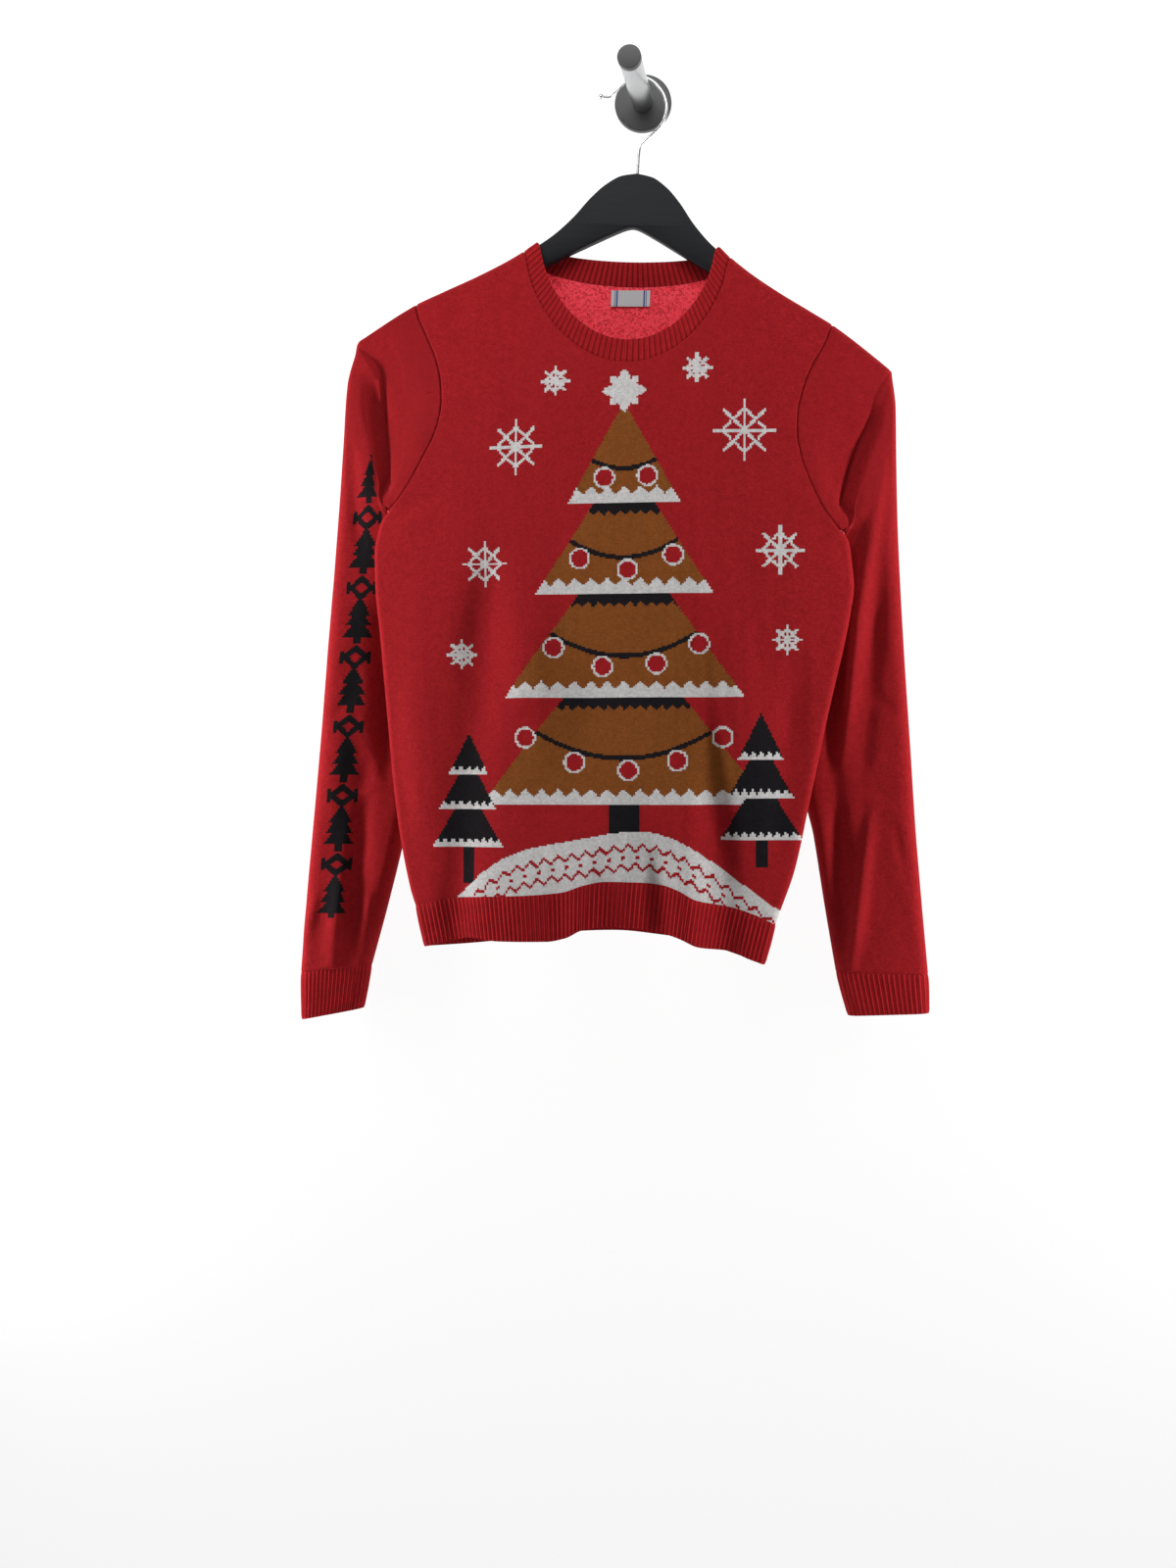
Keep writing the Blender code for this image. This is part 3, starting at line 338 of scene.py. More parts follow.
# Creases in the front view, pressed in (minus) or standing out (plus) of a face of the cloth
CREASE_COLUMNS = "x_high z_high x_low z_low bow depth width"
CREASES = {
    "front": table(
        CREASE_COLUMNS,
        (-120, -330, -157, -725, 0, -6.0, 17),
        (-188, -420, -182, -660, 5, 3.5, 13),
        (-90, -380, -80, -640, 6, 4.6, 20),
        (-30, -470, -44, -700, 5, -2.3, 12),
        (52, -410, 66, -700, -7, -5.0, 15),
        (92, -380, 96, -690, 5, 4.0, 15),
        (136, -470, 112, -680, -5, -3.4, 10),
        (-140, -205, -118, -262, 3, 1.4, 7),
        (-126, -230, -104, -300, -4, -1.2, 8),
        (104, -236, 92, -300, 4, 1.2, 8),
        (-150, -330, -212, -366, 4, -1.7, 9),
        (-160, -352, -224, -400, 4, 1.6, 8),
        (112, -352, 168, -392, -4, -1.7, 9),
        (120, -378, 180, -428, -4, 1.6, 9),
        (-24, -246, -30, -300, 2, -0.8, 10),
        (10, -560, 22, -690, -3, 1.2, 7)),
    "back": table(
        CREASE_COLUMNS,
        (-120, -330, -146, -690, 8, -3.7, 20),
        (-70, -300, -96, -690, -6, 2.8, 16),
        (-16, -380, -6, -690, 5, -3.1, 15),
        (44, -330, 40, -700, -6, 2.6, 14),
        (104, -350, 92, -690, 5, -2.9, 16),
        (-150, -320, -206, -370, -4, 1.6, 9),
        (112, -340, 166, -390, 4, 1.6, 9),
        (60, -210, 88, -280, 3, -1.1, 9)),
    "right_front": table(
        CREASE_COLUMNS,
        (-238, -228, -223, -350, 0, -6.5, 8),
        (-231, -430, -222, -610, 0, -7.0, 10),
        (-241, -560, -258, -765, 0, -4.4, 8),
        (-264, -670, -278, -790, 0, 5.5, 7),
        (-268, -420, -276, -660, -3, 3.0, 11),
        (-286, -690, -299, -752, 1, 3.0, 4),
        (-240, -690, -248, -744, -1, 3.1, 4),
        (-252, -300, -246, -400, 2, -2.6, 6),
        (-250, -520, -282, -548, 1, -1.6, 6),
        (-232, -600, -262, -622, 1, 1.5, 6)),
    "right_back": table(
        CREASE_COLUMNS,
        (-238, -230, -224, -350, 0, 2.0, 9),
        (-256, -400, -252, -660, -4, -3.0, 13),
        (-228, -480, -244, -720, 5, 3.4, 10),
        (-276, -560, -284, -740, 2, 2.7, 9),
        (-240, -540, -276, -566, 1, -1.6, 7)),
    "left_front": table(
        CREASE_COLUMNS,
        (213, -252, 177, -372, 0, -6.5, 8),
        (211, -318, 172, -590, 3, 7.0, 6),
        (179, -420, 160, -620, 0, -7.0, 8),
        (208, -400, 190, -600, 0, -4.5, 8),
        (200, -618, 180, -775, 1, 7.0, 5.5),
        (168, -580, 173, -740, 0, -6.0, 7),
        (217, -630, 232, -696, 0, -1.6, 4),
        (222, -560, 232, -740, -2, 2.2, 12),
        (196, -520, 222, -540, 1, -1.1, 6),
        (190, -610, 226, -628, 1, 1.1, 6)),
    "left_back": table(
        CREASE_COLUMNS,
        (212, -255, 178, -370, 0, 2.0, 9),
        (208, -360, 190, -640, -4, -3.0, 12),
        (186, -480, 178, -730, 4, 3.5, 10),
        (222, -540, 228, -740, 2, 2.6, 9),
        (180, -560, 216, -584, 1, -1.6, 7)),
}
# Each crease fades towards its ends, swells in waves along it, and is widest in the middle
CREASE_FADE = 1.1
CREASE_WAVE = (0.28, 7, 2.1)
CREASE_SPREAD = (0.8, 0.35)

# Where the grids run: coarse stops as in the solids, each stretch cut into finer steps
SEAM_COARSE = (0, 0.012, 0.045, 0.1, 0.19, 0.3, 0.4, 0.5, 0.6, 0.7, 0.81, 0.9, 0.955, 0.988, 1)
ARMPIT_AT = 0.33
ARMPIT_NORMAL = (0.76, -0.65)
ARMPIT_HALF = 5.0
EDGE_STOPS = (0, 0.0018, 0.0064, 0.0130, 0.045)
NECK_AT = {"start": 0.3, "end": 0.86}
NECK_STOPS = {"front": (0.02, 0.05, 0.09, 0.15, 0.22, 0.3, 0.4),
              "back": (0.025, 0.06, 0.13, 0.23, 0.36)}

# Colours, as linear red, green and blue
RED = (0.40, 0.0150, 0.0195)
DEEP_RED = (0.47, 0.0175, 0.0225)
# Painted shade: the red yarn darkened for a sleeve's rows along its armhole seam, where the seam's
# groove lies in shade
SEAM_PAINTED_SHADE_RED = (0.15, 0.006, 0.008)
# Painted light: a much lighter copy of the red yarn for the wrong side, standing in for light let
# through the knit from behind
PURL_RED_PAINTED_GLOW = (0.88, 0.075, 0.105)
OCHRE = (0.27, 0.083, 0.018)
WHITE = (0.74, 0.72, 0.71)
BLACK = (0.012, 0.012, 0.014)
LABEL_WHITE = (0.62, 0.60, 0.61)
LABEL_BLUE = (0.05, 0.07, 0.30)
LACQUER = ((0.0055, 0.006, 0.0075), (0.013, 0.014, 0.017))
PLASTIC = ((0.030, 0.030, 0.031), (0.055, 0.055, 0.056))
ROD_STEEL = (0.50, 0.505, 0.51)
WIRE_STEEL = (0.66, 0.665, 0.67)

# Lowest tone of knit and its gain on the stitches, which paint shade between the loops, then its
# unevenness by stitch and in clouds
YARN_SHADE_AND_TONES = {"plain": (0.70, 0.42, 0.22, 0.30), "purl": (0.85, 0.9, 0.8, 0.7)}

# The middle line of the right sleeve's picture, where the plain cap above it ends, and how many
# rings each way its line is evened over
SLEEVE_COLUMN = table("height x", (-290, -231.5), (-400, -243), (-560, -259), (-717, -273.5))
CAP_END = -234.0
COLUMN_EASE = 4


def finer(stops, parts):
    """Every stretch between stops cut into equal parts."""
    stops = np.asarray(stops, float)
    places = np.linspace(0, len(stops) - 1, (len(stops) - 1) * parts + 1)
    return np.interp(places, np.arange(len(stops)), stops)


SEAM_STOPS = finer(SEAM_COARSE, FINER_SEAM)
SEAM_ROWS = len(SEAM_STOPS)


# Curves and interpolation
def monotone_slopes(xs, ys):
    """Slopes of the smooth curve through a table that adds no bumps of its own."""
    width = np.diff(xs)
    rise = np.diff(ys) / width
    slopes = np.empty(len(xs))
    slopes[0], slopes[-1] = rise[0], rise[-1]
    same = rise[:-1] * rise[1:] > 0
    before = 2 * width[1:] + width[:-1]
    after = width[1:] + 2 * width[:-1]
    safe_low = np.where(same, rise[:-1], 1.0)
    safe_high = np.where(same, rise[1:], 1.0)
    slopes[1:-1] = np.where(same, (before + after) / (before / safe_low + after / safe_high), 0)
    return slopes


def smooth(x, xs, ys):
    """Value at x of the smooth curve through a table, straight on beyond its ends."""
    xs, ys = np.asarray(xs, float), np.asarray(ys, float)
    if xs[0] > xs[-1]:
        xs, ys = xs[::-1], ys[::-1]
    slopes = monotone_slopes(xs, ys)
    x = np.asarray(x, float)
    held = np.clip(x, xs[0], xs[-1])
    cell = np.clip(np.searchsorted(xs, held, side="right") - 1, 0, len(xs) - 2)
    width = xs[cell + 1] - xs[cell]
    t = (held - xs[cell]) / width
    value = (ys[cell] * (1 + 2 * t) * (1 - t) ** 2 + ys[cell + 1] * t * t * (3 - 2 * t)
             + slopes[cell] * width * t * (1 - t) ** 2
             + slopes[cell + 1] * width * t * t * (t - 1))
    beyond = np.where(x < xs[0], slopes[0], slopes[-1])
    return value + beyond * (x - held)


def curve(rows, x, column="height"):
    """Value of a table's column at x, where its first column is read as x."""
    return smooth(x, next(iter(rows.values())), rows[column])


def pairs(rows):
    """Points of a table of two columns."""
    return np.stack(list(rows.values()), -1)


def row_of(rows, index):
    """One row of a table, by the names of its columns."""
    return {key: float(values[index]) for key, values in rows.items()}


def run_length(points):
    """Distance along a line of points, from 0 to 1."""
    steps = np.linalg.norm(np.diff(points, axis=0), axis=1)
    length = np.concatenate(([0], np.cumsum(steps)))
    return length / length[-1]


def along(points, fraction):
    """Points at the given fractions of a line's length, on a smooth curve through it."""
    points = np.asarray(points, float)
    where = run_length(points)
    return np.stack([smooth(fraction, where, points[:, axis])
                     for axis in range(points.shape[1])], axis=-1)


def ease(x, low, high):
    """0 below low, 1 above high, and a soft step between."""
    t = np.clip((np.asarray(x, float) - low) / (high - low), 0, 1)
    return t * t * (3 - 2 * t)


def rounded(distance, radius, power):
    """Height of a rolled edge at a distance in from it: 0 on the edge, 1 from the radius on."""
    t = np.clip(distance / radius, 0, 1)
    return (1 - (1 - t) ** power) ** (1 / power)


def unit(vectors):
    """Vectors made one long."""
    return vectors / np.maximum(np.linalg.norm(vectors, axis=-1, keepdims=True), TINY)


def ring_headings(ring):
    """The way ahead at each point of a closed ring."""
    return np.roll(ring, -1, axis=0) - np.roll(ring, 1, axis=0)


# The hanger's own frame
def from_hanger(out, height):
    """A point of the rolled hanger in the front view."""
    cos, sin = math.cos(HANGER_ROLL), math.sin(HANGER_ROLL)
    return (HANGER_APEX[0] + out * cos + height * sin,
            HANGER_APEX[1] - out * sin + height * cos)


def ridge_height(x):
    """Height of the cloth's shoulder line over the hanger, level across the neck."""
    out = np.asarray(x, float)
    for _ in range(RIDGE_ROUNDS):
        top = curve(HANGER_TOP, np.maximum(np.abs(out), NECK_HALF)) + CLOTH_OVER_HANGER
        out = (x - HANGER_APEX[0] - top * math.sin(HANGER_ROLL)) / math.cos(HANGER_ROLL)
    return from_hanger(out, top)[1]


# The front and back layers of the body
def edge_x(side, height):
    """Outer edge of the front layer at a height."""
    return curve(LAYER_EDGE[side], height, "x")


def from_sides(x, height):
    """Distance in from the nearer outer edge of the front layer."""
    return np.minimum(x - edge_x("right", height), edge_x("left", height) - x)


def over_ridge(drop):
    """Share of a layer's depth at a drop below the shoulder line, rolled over the hanger."""
    return rounded(drop * RIDGE_SPREAD, RIDGE_ROLL, RIDGE_POWER)


def fold_depth(face, x, height):
    """How far the soft folds stand out of a layer."""
    total = np.zeros(np.broadcast(x, height).shape)
    for low, high, top, depth, width in zip(*FOLDS[face].values()):
        down = ease(-height, -top, FOLD_DEEPEST)
        centre = high + (low - high) * np.clip((top - height) / (top + FOLD_DEEPEST), 0, 1)
        total = total + depth * down * np.exp(-((x - centre) / width) ** 2)
    return total


def layer_depth(face, x, height):
    """Depth of the front or back layer's outer surface at a point of the front view."""
    x, height = np.asarray(x, float), np.asarray(height, float)
    drop = ridge_height(x) - height
    low, high = edge_x("right", height), edge_x("left", height)
    inside = np.minimum(x - low, high - x)
    across = np.clip((x - low) / (high - low), 0, 1)
    out = FACING[face]
    fall = np.clip(drop, 0, LAYER["drop"][-1])
    level, tuck, full = (curve(LAYER, fall, face + part) for part in ("", "_tuck", "_full"))
    bulge = 1 - np.abs(2 * across - 1) ** BULGE_POWER if face == "front" else \
        (1 - np.cos(2 * math.pi * across)) / 2
    free = np.clip(inside / FOLD_MARGIN, 0, 1)
    depth = level - HANGER_PLANE - out * tuck * (1 - rounded(inside, FOLD_ROLL, 2))
    depth = depth + out * (full * bulge + free * fold_depth(face, x, height))
    return HANGER_PLANE + out * SEAM_GAP / 2 + depth * over_ridge(drop)


def layer_points(face, x, height, lean=0):
    """Points of a layer's outer surface over the front view."""
    return np.stack([x, layer_depth(face, x, height) + lean, height], -1)


def layer_normal(face, x, height):
    """Outward normal of a layer; it lies in the front view on the ridge and the side edges."""
    step = NORMAL_STEP
    slope_x = (layer_depth(face, x + step, height) - layer_depth(face, x - step, height)) / step
    slope_z = (layer_depth(face, x, height + step) - layer_depth(face, x, height - step)) / step
    at_edge = np.minimum(ridge_height(x) - height, from_sides(x, height)) < AT_EDGE
    out = FACING[face]
    level = np.where(at_edge, 0, out)
    return unit(np.stack([-out * slope_x / 2, level, -out * slope_z / 2], -1))


def neck_point(face, line, turn):
    """Front view of a neck loop; turn goes from 0 at its right end to 1 at its left end."""
    middle, half = NECK_MIDDLE[line], NECK_HALF_WIDTH[line]
    angle = math.pi * np.asarray(turn, float)
    ends = ridge_height(np.array([middle - half, middle + half]))
    fall = NECK_FALL[face, line] * np.clip(np.sin(angle), 0, 1) ** NECK_SQUARENESS[face]
    x = middle - (half - NECK_FLARE * np.tanh(fall / (2 * NECK_FLARE))) * np.cos(angle)
    level = ends[0] + (ends[1] - ends[0]) * (x - middle + half) / (2 * half)
    return np.stack([x, level - fall], -1)


# Creases and seams
def crease_height(name, x, height):
    """How far the creases of one face stand out of it, uneven along each crease."""
    wave, turns, shift = CREASE_WAVE
    narrow, wider = CREASE_SPREAD
    total = np.zeros(np.broadcast(x, height).shape)
    for index, row in enumerate(zip(*CREASES[name].values())):
        x_high, z_high, x_low, z_low, bow, depth, width = row
        length = math.hypot(x_low - x_high, z_low - z_high)
        ahead = np.array([x_low - x_high, z_low - z_high]) / length
        step_x, step_z = x - x_high, height - z_high
        t = np.clip((step_x * ahead[0] + step_z * ahead[1]) / length, 0, 1)
        middle = np.sin(math.pi * t)
        aside = step_x * ahead[1] - step_z * ahead[0] - bow * middle
        fade = middle ** CREASE_FADE * (1 + wave * np.sin(turns * t + shift * index))
        spread = width * (narrow + wider * middle)
        total = total + depth * fade * np.exp(-(aside / spread) ** 2)
    return total


def ripple(x, height, seed):
    """Slight unevenness of hanging knit, about a third of a millimetre."""
    total = 0
    for across, down, phase, size in RIPPLES:
        turn = 2 * math.pi * (x / across + height / down) + phase + seed
        total = total + size * np.sin(turn)
    return total


def groove(points, edge, share=1.0):
    """How far a seam draws the cloth in, by the distance from the seam's edge."""
    distance = np.linalg.norm(points - edge, axis=-1)
    return SEAM_DIP * share * np.exp(-(distance / SEAM_SPREAD) ** 2)


# Meshes
def wall_faces(rows, columns, closed):
    """Faces of a wall between two grids: outside, inside and rims, with no end rims if closed."""
    last, low = rows * columns, (rows - 1) * columns
    spans = np.arange(columns - 1)
    ends = np.arange(rows - 1) * columns
    first = (ends[:, None] + spans).ravel()
    outside = np.stack([first, first + 1, first + 1 + columns, first + columns], -1)
    rims = [(spans + 1, spans), (spans + low, spans + low + 1)]
    if not closed:
        rims += [(ends, ends + columns), (ends + 2 * columns - 1, ends + columns - 1)]
    rims = [np.stack([one, other, other + last, one + last], -1) for one, other in rims]
    return outside, outside[:, ::-1] + last, np.concatenate(rims)


def mesh_object(name, points, faces, materials, slots=None, corners=None):
    """A named object from points in millimetres, with stitch coordinates at each corner."""
    mesh = bpy.data.meshes.new(name)
    mesh.from_pydata((np.asarray(points, float) * METRES).tolist(), [], faces)
    for material in materials:
        mesh.materials.append(material)
    if slots is not None:
        mesh.polygons.foreach_set("material_index", np.asarray(slots, np.int32))
        layer = mesh.uv_layers.new(name="Stitch")
        layer.data.foreach_set("uv", np.asarray(corners, np.float32).ravel())
    mesh.validate()
    mesh.shade_smooth()
    mesh.set_sharp_from_angle(angle=SHARP_ANGLE)
    piece = bpy.data.objects.new(name, mesh)
    bpy.context.scene.collection.objects.link(piece)
    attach(piece, "root")
    return piece


def cloth_object(name, walls, coordinates, materials, closed=False, turned=False, seam_shade_rows=0,
                 plain_rows=0):
    """A cloth shell: right side, inside, then rows along its seam in painted shade and rows with no
    picture.
    """
    outer, inner = walls
    if closed:
        step = coordinates[:, 1, 0] - coordinates[:, 0, 0]
        outer, inner, coordinates = (np.concatenate([grid, grid[:, :1]], axis=1)
                                     for grid in (outer, inner, coordinates))
        coordinates[:, -1, 0] = coordinates[:, -2, 0] + step
    rows, columns = outer.shape[:2]
    outside, inside, rims = wall_faces(rows, columns, closed)
    faces = np.concatenate([outside, inside, rims])
    slots = np.concatenate([np.zeros(len(outside)), np.ones(len(inside)), np.zeros(len(rims))])
    slots[:plain_rows * (columns - 1)] = PLAIN_SLOT
    slots[:seam_shade_rows * (columns - 1)] = SEAM_SHADE_SLOT
    points = np.concatenate([outer.reshape(-1, 3), inner.reshape(-1, 3)])
    corners = np.concatenate([coordinates.reshape(-1, 2)] * 2)[faces]
    if closed:
        points, faces = welded(points, faces, columns)
    if turned:
        faces, corners = faces[:, ::-1], corners[:, ::-1]
    return mesh_object(name, points, faces.tolist(), materials, slots, corners)


def welded(points, faces, columns):
    """Drops a ring's repeated last column, and joins its faces to the first."""
    row, column = np.divmod(np.arange(len(points)), columns)
    keep = column < columns - 1
    fresh = row * (columns - 1) + np.where(keep, column, 0)
    return points[keep], fresh[faces]


def tube_normals(grid):
    """Normals of a tube's rings of points, from their neighbours."""
    across = np.roll(grid, -1, axis=1) - np.roll(grid, 1, axis=1)
    return unit(np.cross(np.gradient(grid, axis=0), across))


# Body panels
def seam_line(side):
    """Armhole seam in the front view, starting on the shoulder line."""
    line = pairs(ARMHOLE[side])
    line[0, 1] = ridge_height(line[0, 0])
    return line


def seam_frame(side, face):
    """Points of an armhole seam, the cloth's normals there, and the way to the sleeve."""
    out = OUTWARD[side]
    flat = along(seam_line(side), SEAM_STOPS)
    flat[0, 1] = ridge_height(flat[0, 0])
    flat[-1, 0] = edge_x(side, flat[-1, 1])
    points = layer_points(face, flat[:, 0], flat[:, 1])
    normals = layer_normal(face, flat[:, 0], flat[:, 1])
    beside = np.cross(np.gradient(points, axis=0), normals) * (out * FACING[face])
    beside[0] = (out, 0, ridge_height(flat[0, 0] + out) - flat[0, 1])
    normals[-1] = (ARMPIT_NORMAL[0] * out, 0, ARMPIT_NORMAL[1])
    beside[-1] = (-ARMPIT_NORMAL[1] * out, 0, ARMPIT_NORMAL[0])
    return points, normals, unit(beside)


def panel_columns(face):
    """Fractions across a panel: rolled edges, shoulders, and the neck between them."""
    start, end = NECK_AT["start"], NECK_AT["end"]
    edge, half = np.array(EDGE_STOPS), np.array(NECK_STOPS[face])
    left, right = (np.concatenate([edge[:-1], np.linspace(edge[-1], shoulder, SHOULDER_STOPS)])
                   for shoulder in (start, 1 - end))
    neck = start + (end - start) * np.concatenate([half, [0.5], 1 - half[::-1]])
    return finer(np.concatenate([left, neck, 1 - right[::-1]]), FINER_ACROSS)


def panel_net(face, columns, rows):
    """Front view of a panel: a smooth net between its shoulders, neck, sides and rib."""
    start, end = NECK_AT["start"], NECK_AT["end"]
    top = neck_point(face, "seam", np.clip((columns - start) / (end - start), 0, 1))
    first, final = top[columns <= start][-1, 0], top[columns >= end][0, 0]
    before, after = columns < start, columns > end
    low_x, high_x = (ARMHOLE[side]["x"][0] for side in SIDE_COLUMN)
    top[before, 0] = low_x + (first - low_x) * columns[before] / start
    top[after, 0] = final + (high_x - final) * (columns[after] - end) / (1 - end)
    top[before | after, 1] = ridge_height(top[before | after, 0])
    rib = RIB_TOP[face]
    bottom_x = rib["x"][0] + (rib["x"][-1] - rib["x"][0]) * columns
    bottom = np.stack([bottom_x, curve(rib, bottom_x) + SEAM_GAP / 2], -1)
    for side, column in SIDE_COLUMN.items():
        bottom[column, 0] = edge_x(side, bottom[column, 1])
    below = (rows[SEAM_ROWS:] - ARMPIT_AT) / (1 - ARMPIT_AT)
    u, v = columns[None, :, None], rows[:, None, None]
    net = (1 - v) * top[None] + v * bottom[None]
    shares = {"right": np.clip(1 - u / start, 0, 1) ** SIDE_PULL,
              "left": np.clip(1 - (1 - u) / (1 - end), 0, 1) ** SIDE_PULL}
    for side, column in SIDE_COLUMN.items():
        seam = seam_frame(side, face)[0][:, (0, 2)]
        height = seam[-1, 1] + (bottom[column, 1] - seam[-1, 1]) * below
        edge = np.concatenate([seam, np.stack([edge_x(side, height), height], -1)])
        net = net + shares[side] * (edge - net[:, column])[:, None]
    return net


def panel_walls(face):
    """Outer and inner points of a panel with its creases, its columns and its net."""
    columns = panel_columns(face)
    rows = np.concatenate([SEAM_STOPS * ARMPIT_AT,
                           np.linspace(ARMPIT_AT, 1, LOW_ROWS + 1)[1:]])
    net = panel_net(face, columns, rows)
    x, height = net[..., 0], net[..., 1]
    outer, normal = layer_points(face, x, height), layer_normal(face, x, height)
    for side, column in SIDE_COLUMN.items():
        points, normals, beside = seam_frame(side, face)
        outer[:SEAM_ROWS, column] = points - SEAM_GAP / 2 * beside
        normal[:SEAM_ROWS, column] = normals
    free = ease(ridge_height(x) - height, *FREE_OF_RIDGE) * ease(from_sides(x, height),
                                                                 *FREE_OF_SIDE)
    lift = free * (crease_height(face, x, height) + ripple(x, height, RIPPLE_SEED[face]))
    outer = outer + normal * lift[..., None]
    inner = outer - CLOTH * normal
    on_neck = (columns >= NECK_AT["start"]) & (columns <= NECK_AT["end"])
    by_seam, by_neck = np.s_[:SEAM_ROWS], np.s_[:, on_neck]
    dip = groove(outer, outer[-1:], BAND_GROOVE)
    for part, edge in ((by_seam, outer[:SEAM_ROWS, :1]), (by_seam, outer[:SEAM_ROWS, -1:]),
                       (by_neck, outer[:1, on_neck])):
        dip[part] = np.maximum(dip[part], groove(outer[part], edge))
    return outer - normal * dip[..., None], inner, columns, net


# Ribbed bands, which follow the edge of the piece they are sewn to
def even_places(line, count, closed=False):
    """Evenly spaced places along a line of points, as fractional point numbers."""
    if closed:
        line = np.concatenate([line, line[:1]])
    where = run_length(line)
    places = np.interp(np.linspace(0, 1, count + 1), where, np.arange(len(line)))
    return places[:-1] if closed else places


def at_places(line, places, closed=False):
    """Points of a line of points at fractional point numbers."""
    if closed:
        line = np.concatenate([line, line[:1]])
    numbers = np.arange(len(line))
    return np.stack([np.interp(places, numbers, line[:, axis]) for axis in range(3)], -1)


def ribbed_walls(seam_outer, seam_inner, free_edge, normal, wave, kind="hem"):
    """Walls of a band from its seam to its free edge, with rounded ribs and a rolled edge."""
    towards = unit(free_edge - seam_outer) * SEAM_GAP
    across = unit(seam_outer - seam_inner)
    starts, inner_starts = seam_outer + towards, seam_inner + towards
    number = np.arange(len(free_edge))
    rib = np.abs(np.sin(math.pi * (number / RIB_POINTS + 0.5))) ** RIB_POWER
    outer, inner = [], []
    for t in np.linspace(0, 1, RIB_ROWS):
        facing = unit(across * (1 - t) + normal * t)
        rise = RIB_RISE * rib * ease(t, *RIB_FADE_IN) * (1 - RIB_FLATTER * ease(t, *RIB_FADE_OUT))
        sway = wave * math.sin(math.pi * t) * np.sin(number * SWAY_TURN + SWAY_SHIFT * t)
        middle = starts * (1 - t) + free_edge * t
        low = inner_starts * (1 - t) + (free_edge - CLOTH * normal) * t
        at_end = ease(t, *BAND_END)
        dip = BAND_DIP[kind] * (1 - ease(t, 0, BAND_START)) + BAND_ROLL["outer"] * at_end
        outer.append(middle + facing * (rise + sway - dip)[:, None])
        inner.append(low + facing * (sway + BAND_ROLL["inner"] * at_end)[:, None])
    return np.array(outer), np.array(inner)


def band_coordinates(walls, height):
    """Stitch coordinates of a band: two wales to each rib, and courses down it."""
    rows, columns = walls[0].shape[:2]
    u = np.arange(columns) / RIB_POINTS * RIB_PITCH
    return np.stack(np.meshgrid(u, -np.linspace(0, height, rows)), -1)


def hem_walls(face, outer, inner):
    """Walls of half of the hem rib, sewn to a panel's lowest row."""
    count = RIB_POINTS * HEM_RIBS
    places = even_places(outer, count)
    hem = HEM[face]
    fine = (1 - np.cos(np.linspace(0, math.pi, HEM_POINTS))) / 2
    x = hem["x"][0] + (hem["x"][-1] - hem["x"][0]) * fine
    height = curve(hem, x)
    start, end = edge_x("right", height[0]), edge_x("left", height[-1])
    line = layer_points(face, start + (end - start) * fine, height)
    free = at_places(line, even_places(line, count))
    normal = unit(np.cross(np.gradient(free, axis=0), (0, 0, -FACING[face])))
    normal[(0, -1), :] *= (1, 0, 1)
    return ribbed_walls(at_places(outer, places), at_places(inner, places), free, unit(normal),
                        BAND_WAVE["hem"])


def neck_walls(panels):
    """Walls of the neckband, sewn to the neck edges of both panels."""
    parts = []
    for face, (outer, inner, columns) in panels.items():
        neck = (columns >= NECK_AT["start"] - TINY) & (columns <= NECK_AT["end"] + TINY)
        seam_outer, seam_inner = outer[0, neck], inner[0, neck]
        fine = np.linspace(0, 1, NECK_POINTS)
        lean = BAND_LEAN[face] * np.sin(math.pi * fine) ** 0.5
        free = layer_points(face, *neck_point(face, "edge", fine).T, lean)
        count = RIB_POINTS * NECK_RIBS[face]
        places = even_places(seam_outer, count)
        part = [at_places(seam_outer, places), at_places(seam_inner, places),
                at_places(free, even_places(free, count))]
        if face == "back":
            part = [line[::-1] for line in part]
        parts.append([line[:-1] for line in part])
    seam_outer, seam_inner, free = (np.concatenate(lines) for lines in zip(*parts))
    normal = unit(np.cross(seam_outer - free, ring_headings(free)))
    return ribbed_walls(seam_outer, seam_inner, free, normal, BAND_WAVE["neck"], "neck")


# Sleeves and cuffs
def edge_swell(across, width, half):
    """Thickness of a flattened tube across its width: round edges, then nearly flat."""
    inside = width * np.minimum(across, 1 - across)
    return rounded(inside, SWELL_ROLL * half, SWELL_POWER) * (
        1 - SWELL_CROWN + SWELL_CROWN * np.sin(math.pi * across))


def tube_ring(row, around):
    """Ring of a hanging sleeve: around runs from the outer edge over the front to the inner
    edge at 0.5, then back behind."""
    across = np.where(around <= 0.5, 2 * around, 2 - 2 * around)
    front = np.where(around <= 0.5, -1, 1)
    x, height, middle = (row["outer_" + part] + (row["inner_" + part] - row["outer_" + part])
                         * across for part in ("x", "height", "depth"))
    width = math.hypot(row["outer_x"] - row["inner_x"], row["outer_height"] - row["inner_height"])
    half = row["half"] + (row["inner_half"] - row["half"]) * ease(across, *HALF_CHANGE)
    return np.stack([x, middle + front * half * edge_swell(across, width, half), height], -1)


def fanned(side, ring, across, flat):
    """Ends of a ring turned to point at the armpit; also the depth that the ring ends at."""
    points = seam_frame(side, "front")[0]
    start = points[-1]
    last = start[[0, 2]] - points[-2, [0, 2]]
    centre = start[[0, 2]] + FAN_RADIUS * last / np.linalg.norm(last)
    row = row_of(FAN, ring)
    angle = math.radians(row["angle"])
    heading = np.array([OUTWARD[side] * math.cos(angle), math.sin(angle)])
    distance = FAN_RADIUS - row["inset"] + row["length"] * (1 - across)
    share = ease(across, *FAN_SHARE)[:, None]
    turned = flat + (centre + distance[:, None] * heading - flat) * share
    return turned, start[1] + SEAM_GAP / 2 + row["depth"]


